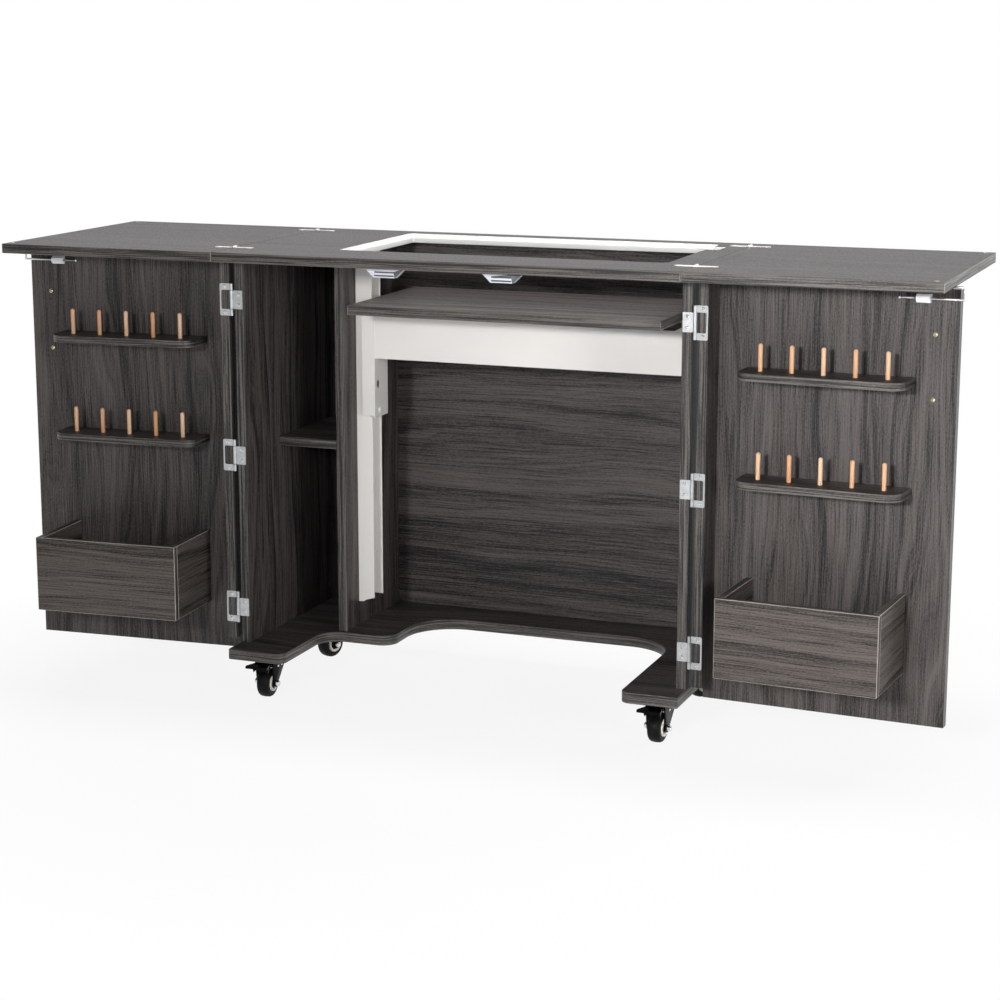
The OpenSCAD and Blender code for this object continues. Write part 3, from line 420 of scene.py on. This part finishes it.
def fitting(node, body, slot, material, width=0.3, segments=2, second=None, where=None):
    """A fitting with edges eased by width in millimetres.

    Faces that where() picks take the second material."""
    bm = solid_of(node)
    ease(bm, width * MM, segments)
    bm.normal_update()
    if where:
        for face in bm.faces:
            if where(face):
                face.material_index = 1
    materials = (material, second) if second else (material,)
    finished(node + "_piece", bm, body, slot, materials, node)


# ---------------------------------------------------------------- fasteners made by node trees

class Maker(Nodes):
    """A Geometry Nodes tree with named inputs."""

    def __init__(self, name, sizes):
        super().__init__(bpy.data.node_groups.new(name, "GeometryNodeTree"))
        face = self.tree.interface
        face.new_socket("Places", in_out="INPUT", socket_type="NodeSocketGeometry")
        for label, value in sizes:
            socket = face.new_socket(label, in_out="INPUT", socket_type="NodeSocketFloat")
            socket.default_value = value
        face.new_socket("Finish", in_out="INPUT", socket_type="NodeSocketMaterial")
        face.new_socket("Made", in_out="OUTPUT", socket_type="NodeSocketGeometry")
        self.given = self.add("NodeGroupInput").outputs
        self.out = self.add("NodeGroupOutput")

    def vector(self, x, y, z):
        return self.add("ShaderNodeCombineXYZ", {"X": x, "Y": y, "Z": z}).outputs[0]

    def set_out(self, shape, seed):
        """One copy of the shape at each place, turned to its axis and by a fixed random angle."""
        axis = self.add("GeometryNodeInputNamedAttribute", {"Name": "axis"},
                        data_type="FLOAT_VECTOR")
        lean = self.add("FunctionNodeAlignRotationToVector", {"Vector": axis.outputs[0]}, axis="Z")
        upper_end = 3       # of a plain number; inputs 0 and 1 are for vectors
        chance = self.add("FunctionNodeRandomValue", {"Seed": seed, upper_end: math.pi},
                          data_type="FLOAT")
        turn = self.add("FunctionNodeEulerToRotation",
                        {"Euler": self.vector(0.0, 0.0, chance.outputs[1])})
        spin = self.add("FunctionNodeRotateRotation",
                        {"Rotation": lean.outputs[0], "Rotate By": turn.outputs[0]},
                        rotation_space="LOCAL")
        points = self.add("GeometryNodeMeshToPoints", {"Mesh": self.given["Places"]})
        copies = self.add("GeometryNodeInstanceOnPoints", {
            "Points": points.outputs[0], "Instance": shape, "Rotation": spin.outputs[0]})
        real = self.add("GeometryNodeRealizeInstances", {"Geometry": copies.outputs[0]})
        last = self.add("GeometryNodeSetMaterial",
                        {"Geometry": real.outputs[0], "Material": self.given["Finish"]})
        self.feed(self.out.inputs[0], last.outputs[0])
        return self


def phillips_screws():
    """Countersunk screws: a shallow crowned head with a cross recess cut into it."""
    m = Maker("phillips screws",
              (("Head diameter", 0.0062), ("Head height", 0.0011), ("Cross", 0.0036)))
    height, cross = m.given["Head height"], m.given["Cross"]
    radius = m.maths("MULTIPLY", m.given["Head diameter"], 0.5)
    head = m.add("GeometryNodeMeshCone", {
        "Vertices": 24, "Side Segments": 2, "Radius Top": m.maths("MULTIPLY", radius, 0.55),
        "Radius Bottom": radius, "Depth": height})
    slot_width = m.maths("MULTIPLY", cross, 0.26)
    cut = m.add("GeometryNodeMeshBoolean", {"Mesh 1": head.outputs[0]}, operation="DIFFERENCE")
    for x, y in ((cross, slot_width), (slot_width, cross)):
        bar = m.add("GeometryNodeMeshCube", {"Size": m.vector(x, y, height)})
        bar = m.add("GeometryNodeTransform", {
            "Geometry": bar.outputs[0],
            "Translation": m.vector(0.0, 0.0, m.maths("MULTIPLY", height, 0.85))})
        m.feed(cut.inputs["Mesh 2"], bar.outputs[0])
    return m.set_out(cut.outputs[0], seed=7)


def rivets():
    """Domed rivet heads."""
    m = Maker("rivets", (("Head diameter", 0.006), ("Head height", 0.0016)))
    height, diameter = m.given["Head height"], m.given["Head diameter"]
    ball = m.add("GeometryNodeMeshUVSphere", {
        "Segments": 20, "Rings": 10, "Radius": m.maths("MULTIPLY", diameter, 0.5)})
    squash = m.maths("DIVIDE", m.maths("MULTIPLY", height, 2.0), diameter)
    dome = m.add("GeometryNodeTransform",
                 {"Geometry": ball.outputs[0], "Scale": m.vector(1.0, 1.0, squash)})
    return m.set_out(dome.outputs[0], seed=3)


def repeated(name, maker, places, body, slot, material, **sizes):
    """Runs a maker over places, each a point and an axis, and keeps the result as a plain mesh.

    Sizes are the maker's inputs, in metres, with _ for the spaces in their names."""
    seedbed = bpy.data.meshes.new(name)
    seedbed.from_pydata([p for p, _ in places], [], [])
    axes = seedbed.attributes.new("axis", "FLOAT_VECTOR", "POINT")
    for i, (_, axis) in enumerate(places):
        axes.data[i].vector = axis
    holder = bpy.data.objects.new(name, seedbed)
    bpy.context.scene.collection.objects.link(holder)
    modifier = holder.modifiers.new("made", "NODES")
    modifier.node_group = maker.tree
    values = dict(sizes, Finish=material)
    for item in maker.tree.interface.items_tree:
        if item.in_out == "INPUT" and item.name.replace(" ", "_") in values:
            modifier[item.identifier] = values[item.name.replace(" ", "_")]
    graph = bpy.context.evaluated_depsgraph_get()
    mesh = bpy.data.meshes.new_from_object(holder.evaluated_get(graph))
    holder.modifiers.remove(modifier)
    bpy.data.objects.remove(holder)
    mesh.name = name
    placed(name, mesh, body, slot, (material,))


SCREWS = phillips_screws()
RIVETS = rivets()


# ---------------------------------------------------------------- sheet and turned shapes

def rounded_outline(corners, steps=5):
    """Points round an outline whose corners are (x, y, radius), anticlockwise."""
    points = []
    for i, (x, y, r) in enumerate(corners):
        p = Vector((x, y))
        a = (Vector(corners[i - 1][:2]) - p).normalized()
        b = (Vector(corners[(i + 1) % len(corners)][:2]) - p).normalized()
        if r <= 0:
            points.append(p)
            continue
        half = a.angle(b) / 2
        centre = p + (a + b).normalized() * (r / math.sin(half))
        start = p + a * (r / math.tan(half)) - centre
        finish = p + b * (r / math.tan(half)) - centre
        swing = start.angle_signed(finish)
        for k in range(steps + 1):
            arm = start.copy()
            arm.rotate(Matrix.Rotation(-swing * k / steps, 2))
            points.append(centre + arm)
    return points


def sheet_metal(outline, windows, thickness, edge=0.00012):
    """A flat plate with windows and rounded edges, in the XY plane from z = 0 up."""
    curve = bpy.data.curves.new("plate", "CURVE")
    curve.dimensions = "2D"
    curve.fill_mode = "BOTH"
    curve.extrude = thickness / 2 - edge
    curve.bevel_depth = edge
    curve.bevel_resolution = 1
    curve.offset = -edge
    for loop in [outline] + list(windows):
        spline = curve.splines.new("POLY")
        spline.points.add(len(loop) - 1)
        for point, p in zip(spline.points, loop):
            point.co = (p[0], p[1], 0.0, 1.0)
        spline.use_cyclic_u = True
    holder = bpy.data.objects.new("plate", curve)
    bpy.context.scene.collection.objects.link(holder)
    graph = bpy.context.evaluated_depsgraph_get()
    mesh = bpy.data.meshes.new_from_object(holder.evaluated_get(graph))
    bpy.data.objects.remove(holder)
    bm = bmesh.new()
    bm.from_mesh(mesh)
    bmesh.ops.remove_doubles(bm, verts=bm.verts[:], dist=1e-6)
    bmesh.ops.recalc_face_normals(bm, faces=bm.faces[:])
    bmesh.ops.translate(bm, vec=(0, 0, thickness / 2), verts=bm.verts[:])
    return bm


def turned(profile, steps=28):
    """A closed shape turned about Z. Its (radius, height) points start and end on the axis."""
    bm = bmesh.new()
    rings = []
    for r, h in profile:
        turns = [2 * math.pi * k / steps for k in range(steps)] if r else [0.0]
        rings.append([bm.verts.new((r * math.cos(t), r * math.sin(t), h)) for t in turns])
    for low, high in zip(rings, rings[1:]):
        for k in range(steps):
            ends = (low[k % len(low)], low[(k + 1) % len(low)],
                    high[(k + 1) % len(high)], high[k % len(high)])
            corners = [v for i, v in enumerate(ends) if v not in ends[:i]]
            if len(corners) > 2:
                bm.faces.new(corners)
    bmesh.ops.recalc_face_normals(bm, faces=bm.faces[:])
    return bm


def join(target, part, matrix):
    """Adds a shape to another one in its place."""
    part.transform(matrix)
    bmesh.ops.recalc_face_normals(part, faces=part.faces[:])
    mesh = bpy.data.meshes.new("part")
    part.to_mesh(mesh)
    part.free()
    target.from_mesh(mesh)
    bpy.data.meshes.remove(mesh)


def hinge_frame(sign, out, back):
    """Place of axes that start at a door's hinge pin: out from it, back from it, and up."""
    matrix = Matrix((out, back, Z)).transposed().to_4x4()
    matrix.translation = Vector((sign * DOOR_PIN, DOOR_PIN_BACK - ORIGIN_BACK, 0))
    return matrix


def door_frame(sign):
    """The axes of a door at rest."""
    c, s = math.cos(DOOR_REST), math.sin(DOOR_REST)
    return hinge_frame(sign, Vector((sign * c, -s, 0)), Vector((sign * s, c, 0)))


def carcass_frame(sign):
    """The same axes without a door's rest angle, for the plates on the side panels."""
    return hinge_frame(sign, X * sign, Y)


# ---------------------------------------------------------------- carcass, top and leaves

def upright(normal):
    """Picks the arrises of upright edges for the painted highlight."""
    return abs(normal.z) < 0.2


def none(normal):
    """Picks no arris for the painted highlight."""
    return False


def build_boards():
    """All boards. The number after the axes along and through a board sets its grain apart."""
    board("base_panel", "carcass", X, Z, 1, curved=True, painted_highlight_edges=upright)
    board("left_side_panel", "carcass", Z, X, 2, laminate=STREAKED, painted_highlight_edges=none)
    board("right_side_panel", "carcass", Z, X, 3, painted_highlight_edges=none)
    board("divider_panel", "carcass", Z, X, 4, painted_highlight_edges=none)
    board("back_panel", "carcass", X, Y, 5, painted_highlight_edges=none)
    board("compartment_shelf", "carcass", X, Z, 6, painted_highlight_edges=none)
    board("centre_top", "carcass", X, Z, 7, slot="top_laminate", arris=0.7, laminate=TOP_LAMINATE,
          painted_highlight_edges=upright)
    board("lift_platform", "lift_carriage", X, Z, 8, painted_highlight_edges=upright)
    for k, (side, sign) in enumerate(SIDES):
        out, back = (axis.to_3d() for axis in door_frame(sign).col[:2])
        door, first = side + "_door", 20 + 10 * k
        board(side + "_door_panel", door, Z, back, first, painted_highlight_edges=none)
        board(side + "_door_stile", door, Z, out, first + 1, painted_highlight_edges=none)
        board(side + "_thread_shelves", door, out, Z, first + 2, curved=True, arris=0.7)
        board(side + "_bin_front", door, out, back, first + 3, laminate=BOX_LAMINATE)
        board(side + "_bin_sides", door, back, out, first + 4, laminate=BOX_LAMINATE)
        board(side + "_bin_bottom", door, out, Z, first + 5, painted_highlight_edges=none)
        board(side + "_leaf", side + "_leaf", X, Z, first + 6, slot="top_laminate", arris=0.7,
              laminate=TOP_LAMINATE, painted_highlight_edges=upright)


def build_liner_and_catches():
    fitting("opening_liner", "carcass", "liner_plastic", LINER, width=0.7, segments=3)
    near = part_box("door_catches")[0].y
    strips, half = (TOP - 0.0232, TOP - 0.0288), 0.0013

    def strip(face):
        """Picks the fronts of the two steel strips in a catch."""
        p = face.calc_center_median()
        return p.y < near + 0.0009 and any(abs(p.z - z) < half for z in strips)

    fitting("door_catches", "carcass", "catch_plastic", CATCH, width=0.2, second=CATCH_STEEL,
            where=strip)
    fitting("cover_caps", "carcass", "cap_plastic", CAP, width=0.2)


# ---------------------------------------------------------------- door hinges

# Millimetres. Plates: nearer and further edge from the pin, half the height, and the radius of
# the corners at either edge.
SIDE_PLATE = (-20, -2.2, 15.5, 1.6, 0)
FRAME_PLATE = (2.2, 21, 27, 0, 2.6)
FRAME_WINDOW = (3.3, 18.4, 16, 0.3, 2.4)
PLATE_THICK, PLATE_FRONT = 0.8, 0.2
KNUCKLE, LIP = 3.0, 0.4                                 # radius, and its rounding
SIDE_KNUCKLE = (-15.5, 15.5)                            # lower and upper end
FRAME_KNUCKLES = ((-27.0, -15.8), (15.8, 27.0))
PIN = ((0, -27.6), (1.2, -27.5), (1.5, -27), (1.5, 27), (1.2, 27.5), (0, 27.6))
SCREW_OUT, SIDE_SCREW_UP, FRAME_SCREW_UP = 12.6, 8.6, 21.6

STAND_UP = Matrix(((1, 0, 0, 0), (0, 0, -1, 0), (0, 1, 0, 0), (0, 0, 0, 1)))


def plate_outline(first, last, half, first_radius, last_radius):
    """Outline of a plate, given in millimetres."""
    corners = ((first, -half, first_radius), (last, -half, last_radius),
               (last, half, last_radius), (first, half, first_radius))
    return rounded_outline([tuple(value * MM for value in corner) for corner in corners])


def knuckle(low, high):
    """A hinge knuckle between two heights in millimetres."""
    profile = ((0, low), (KNUCKLE - LIP, low), (KNUCKLE, low + LIP), (KNUCKLE, high - LIP),
               (KNUCKLE - LIP, high), (0, high))
    return turned([(r * MM, h * MM) for r, h in profile])


def build_door_hinges():
    plate, screw_depth = PLATE_THICK * MM, (PLATE_FRONT + 0.1) * MM
    screws = {"carcass": [], "left_door": [], "right_door": []}
    carcass_bm = bmesh.new()
    for side, sign in SIDES:
        door_bm = bmesh.new()
        at_side, at_door = carcass_frame(sign), door_frame(sign)
        toward = -(at_door.col[1].to_3d())
        for z in DOOR_HINGE_HEIGHTS:
            middle = Matrix.Translation((0, 0, z))
            flat = Matrix.Translation((0, (PLATE_FRONT + PLATE_THICK) * MM, z)) @ STAND_UP
            join(carcass_bm, sheet_metal(plate_outline(*SIDE_PLATE), [], plate), at_side @ flat)
            join(carcass_bm, knuckle(*SIDE_KNUCKLE), at_side @ middle)
            join(door_bm, sheet_metal(plate_outline(*FRAME_PLATE), [plate_outline(*FRAME_WINDOW)],
                                      plate), at_door @ flat)
            for low, high in FRAME_KNUCKLES:
                join(door_bm, knuckle(low, high), at_door @ middle)
            join(door_bm, turned([(r * MM, h * MM) for r, h in PIN], 16), at_door @ middle)
            for way in (-1, 1):
                point = Vector((-SCREW_OUT * MM, screw_depth, z + way * SIDE_SCREW_UP * MM))
                screws["carcass"].append((at_side @ point, -Y))
            for way in (-1, 1):
                point = Vector((SCREW_OUT * MM, screw_depth, z + way * FRAME_SCREW_UP * MM))
                screws[side + "_door"].append((at_door @ point, toward))
        finished(side + "_hinge_frames_piece", door_bm, side + "_door", "zinc", (ZINC,),
                 side + "_hinge_frames")
    finished("side_hinge_plates_piece", carcass_bm, "carcass", "zinc", (ZINC,),
             "side_hinge_plates")
    for body, places in screws.items():
        repeated(body + "_hinge_screws", SCREWS, places, body, "zinc", SCREW_STEEL,
                 Head_diameter=0.0066, Head_height=0.0009, Cross=0.0042)


def build_leaf_hinges():
    # The top and leaf hinges take the zinc painted lighter, whose paleness is a painted
    # reflection.
    fitting("top_hinge_plates", "carcass", "zinc", REFLECTION_PAINTED_ZINC, width=0.25)
    from_joint, height = (11.0 * MM, 27.5 * MM), TOP + 0.0003
    screws = {"carcass": [], "left_leaf": [], "right_leaf": []}
    for side, sign in SIDES:
        leaf = side + "_leaf"
        fitting(side + "_leaf_hinges", leaf, "zinc", REFLECTION_PAINTED_ZINC, width=0.25)
        fitting(side + "_leaf_bumpers", leaf, "clear_bumper", CLEAR, width=0.4, segments=3)
        for y in LEAF_HINGES_BACK:
            for along in from_joint:
                for body, way in (("carcass", -1), (leaf, 1)):
                    point = Vector((sign * (LEAF_JOINT + way * along), y - ORIGIN_BACK, height))
                    screws[body].append((point, Z))
    for body, places in screws.items():
        repeated(body + "_top_hinge_screws", SCREWS, places, body, "zinc", REFLECTION_PAINTED_ZINC,
                 Head_diameter=0.0072, Head_height=0.0006, Cross=0.0036)


# ---------------------------------------------------------------- doors

def build_door_fittings():
    pull_out, pull_heights = 0.362, (0.678, 0.579)
    screw_face, brass_to = 0.0518, 0.0535       # back from the hinge pins
    for side, sign in SIDES:
        door = side + "_door"
        at_door = door_frame(sign)
        toward, into = -(at_door.col[1].to_3d()), at_door.inverted()

        def screw_end(face, into=into):
            """Picks the screws' part of a pull, inside the door."""
            return (into @ face.calc_center_median()).y < brass_to

        fitting(side + "_thread_pegs", door, "beech", PEG, width=0.0)
        fitting(side + "_wire_clip", door, "clip_plastic", CLIP, width=0.5)
        fitting(side + "_pull", door, "brushed_metal", BRUSHED, width=0.4, second=BRASS,
                where=screw_end)
        fitting(side + "_strike_plate", door, "zinc", ZINC, width=0.15)
        fitting(side + "_support_wire", side + "_support_wire", "wire_steel", WIRE, width=0.0)
        places = [(at_door @ Vector((pull_out, screw_face, z)), toward) for z in pull_heights]
        repeated(side + "_pull_screws", SCREWS, places, door, "brushed_metal", BRASS,
                 Head_diameter=0.0066, Head_height=0.0012, Cross=0.0042)


# ---------------------------------------------------------------- lift

def build_lift():
    fitting("lift_rails", "carcass", "white_steel", WHITE_STEEL, width=0.5)
    fitting("lift_brackets", "lift_carriage", "white_steel", WHITE_STEEL, width=0.3)
    fitting("lift_apron", "lift_carriage", "white_steel", WHITE_STEEL, width=0.4)
    fitting("glide_blocks", "lift_carriage", "nylon", NYLON, width=0.3)
    fitting("lift_bolts", "lift_carriage", "nylon", NYLON, width=0.5)
    rails = ((-254.0, 1), (379.0, -1))      # place of each in millimetres, and its way in
    web_face, rail_back, rail_heights = 1.75, 270.5, (160, 360, 560, 700)
    arms, arm_backs, arm_low = (-198.0, 314.0), (275, 325, 375), 657.0
    rail_screws = [(spot(x + inward * web_face, rail_back, z), X * inward)
                   for x, inward in rails for z in rail_heights]
    arm_screws = [(spot(x, y, arm_low), -Z) for x in arms for y in arm_backs]
    repeated("rail_screws", RIVETS, rail_screws, "carcass", "white_steel", WHITE_STEEL,
             Head_diameter=0.007, Head_height=0.0004)
    repeated("platform_screws", SCREWS, arm_screws, "lift_carriage", "zinc", SCREW_STEEL,
             Head_diameter=0.007, Head_height=0.0014, Cross=0.0042)


# ---------------------------------------------------------------- casters

AXLE_BACK, AXLE_UP = -0.018, 0.025      # the wheel trails towards the front
ROD_BACK, ROD_UP = -0.026, 0.058        # the brake's rod
RING = (0.0098, 0.0145)                 # radii within which the hub ring lies
PLATE_SCREW, PLATE_LOW = 17, 72.6       # millimetres
RIVET_SIDE, RIVETS_AT = 17.0, ((-10, 54.0), (4, 53.5))


def caster_pickers(back, braked):
    """Picks a fork's bright nuts and brake rod, and the cream ring of a wheel."""
    def corners(face):
        return [back @ vert.co for vert in face.verts]

    def bright(face):
        points = corners(face)
        sides = [abs(q.x) for q in points]
        nut = min(sides) > 0.0168 and max(sides) > 0.0175
        rod = all(math.hypot(q.y - ROD_BACK, q.z - ROD_UP) < 0.0026 for q in points)
        return nut or (rod and braked)

    def cream(face):
        points = corners(face)
        radius = sum(math.hypot(q.y - AXLE_BACK, q.z - AXLE_UP) for q in points) / len(points)
        return RING[0] < radius < RING[1] and min(abs(q.x) for q in points) > 0.0102

    return bright, cream


def build_casters():
    fitting("caster_plates", "carcass", "black_steel", BLACK_STEEL, width=0.4)
    plate_screws = []
    for name, x, y, angle in CASTERS:
        place = Matrix.Translation(spot(x, y, 0)) @ Matrix.Rotation(math.radians(angle), 4, "Z")
        braked = name.startswith("front")
        bright, cream = caster_pickers(place.inverted(), braked)
        fitting(name + "_fork", name + "_fork", "black_steel", BLACK_STEEL, width=0.35,
                second=SCREW_STEEL, where=bright)
        fitting(name + "_wheel", name + "_wheel", "tyre", TYRE, width=0.3, second=CREAM,
                where=cream)
        for dx in (-PLATE_SCREW, PLATE_SCREW):
            for dy in (-PLATE_SCREW, PLATE_SCREW):
                plate_screws.append((spot(x + dx, y + dy, PLATE_LOW), -Z))
        rivet_places = []
        for side in (-1, 1):
            for dy, z in RIVETS_AT:
                point = place @ Vector((side * RIVET_SIDE * MM, dy * MM, z * MM))
                rivet_places.append((point, place.to_3x3() @ (X * side)))
        repeated(name + "_rivets", RIVETS, rivet_places, name + "_fork", "black_steel",
                 SCREW_STEEL, Head_diameter=0.0052, Head_height=0.0013)
        if braked:
            fitting(name + "_pedal", name + "_pedal", "black_steel", BLACK_STEEL, width=0.4)
    repeated("caster_screws", SCREWS, plate_screws, "carcass", "zinc", SCREW_STEEL,
             Head_diameter=0.0078, Head_height=0.0016, Cross=0.0048)


# ---------------------------------------------------------------- studio

def studio_floor():
    """White floor that keeps the cabinet's soft shadow near it, and is plain white further out."""
    half = 14.0
    near, far, near_white, far_white = 0.7, 1.2, 0.88, 1.0
    mesh = bpy.data.meshes.new("studio_floor")
    corners = [(-half, -half, 0), (half, -half, 0), (half, half, 0), (-half, half, 0)]
    mesh.from_pydata(corners, [], [(0, 1, 2, 3)])
    floor = bpy.data.objects.new("studio_floor", mesh)
    bpy.context.scene.collection.objects.link(floor)
    f = Finish("white floor", Base_Color=(0.90, 0.90, 0.90, 1), Roughness=0.9,
               Specular_IOR_Level=0.0)
    ray = f.add("ShaderNodeLightPath").outputs
    seen = f.maths("MAXIMUM", ray["Is Camera Ray"], ray["Is Glossy Ray"])
    seen = f.maths("MAXIMUM", seen, ray["Is Transmission Ray"])
    away = f.add("ShaderNodeVectorMath", {0: f.place()}, operation="LENGTH").outputs["Value"]
    share = f.maths("MULTIPLY", seen, f.range(away, near, far, near_white, far_white))
    blend = f.blend(share, f.shader, f.add("ShaderNodeEmission", {"Color": WHITE}))
    f.feed(f.tree.nodes["Material Output"].inputs[0], blend.outputs[0])
    mesh.materials.append(f.material)


def studio_world():
    """White surroundings for the camera, a fading sheen for the gloss, soft grey for the rest.

    The sheen is dim in front of the cabinet and light behind it."""
    front, behind, dim, light = -0.6, 0.1, 0.22, 0.66
    world = bpy.data.worlds.new("studio")
    bpy.context.scene.world = world
    world.use_nodes = True
    world.node_tree.nodes.clear()
    w = Nodes(world.node_tree)
    ray = w.add("ShaderNodeLightPath").outputs
    generated = w.add("ShaderNodeTexCoord").outputs["Generated"]
    way = w.add("ShaderNodeSeparateXYZ", {0: generated}).outputs["Y"]
    strength = w.range(way, front, behind, dim, light)
    plain = w.add("ShaderNodeBackground", {"Color": WHITE, "Strength": 0.04})
    sheen = w.add("ShaderNodeBackground", {"Color": WHITE, "Strength": strength})
    white = w.add("ShaderNodeBackground", {"Color": WHITE})
    seen = w.maths("MAXIMUM", ray["Is Camera Ray"], ray["Is Transmission Ray"])
    blend = w.blend(seen, w.blend(ray["Is Glossy Ray"], plain, sheen), white)
    w.add("ShaderNodeOutputWorld", {0: blend.outputs[0]})


def softbox(name, at, aim, width, height, power, spread=180.0):
    """A lamp with a rectangular face. Power is in watts, and spread in degrees."""
    lamp = bpy.data.lights.new(name, "AREA")
    lamp.shape = "RECTANGLE"
    lamp.size, lamp.size_y, lamp.energy = width, height, power
    lamp.spread = math.radians(spread)
    holder = bpy.data.objects.new(name, lamp)
    holder.location = at
    holder.rotation_euler = (Vector(aim) - Vector(at)).to_track_quat("-Z", "Y").to_euler()
    bpy.context.scene.collection.objects.link(holder)


def studio_camera():
    """The camera fitted to the photograph: place from the front, turn, tilt and roll."""
    turn, tilt, roll = (math.radians(angle) for angle in (21.603, 78.104, -0.084))
    lens = bpy.data.cameras.new("camera")
    lens.sensor_width = 36.0
    lens.lens = 84.15
    lens.shift_x, lens.shift_y = 0.026838, -0.004167
    lens.clip_end = 100.0
    holder = bpy.data.objects.new("camera", lens)
    holder.location = (1.399173, -3.378522 - ORIGIN_BACK, 1.163607)
    aim = Matrix.Rotation(turn, 3, "Z") @ Matrix.Rotation(tilt, 3, "X")
    holder.rotation_euler = (aim @ Matrix.Rotation(roll, 3, "Z")).to_euler()
    bpy.context.scene.collection.objects.link(holder)
    bpy.context.scene.camera = holder


bpy.context.scene.view_settings.view_transform = "Standard"
studio_camera()
studio_floor()
studio_world()
softbox("front", (0.0, -3.9, 1.5), (0.0, 0.0, 0.45), 0.35, 0.35, 42.0)
softbox("right_front", (0.25, -4.2, 1.5), (0.85, 0.0, 0.42), 0.35, 0.35, 3.6, spread=34.0)
softbox("right_side", (4.2, -2.9, 1.1), (0.0, 0.0, 0.45), 1.2, 1.2, 88.0)
softbox("overhead", (0.1, 0.15, 2.7), (0.1, 0.15, 0.7), 2.4, 0.6, 52.0)
softbox("rear", (3.4, 2.9, 1.5), (0.0, 0.2, 0.4), 1.4, 1.4, 70.0)
build_boards()
build_liner_and_catches()
build_door_hinges()
build_leaf_hinges()
build_door_fittings()
build_lift()
build_casters()
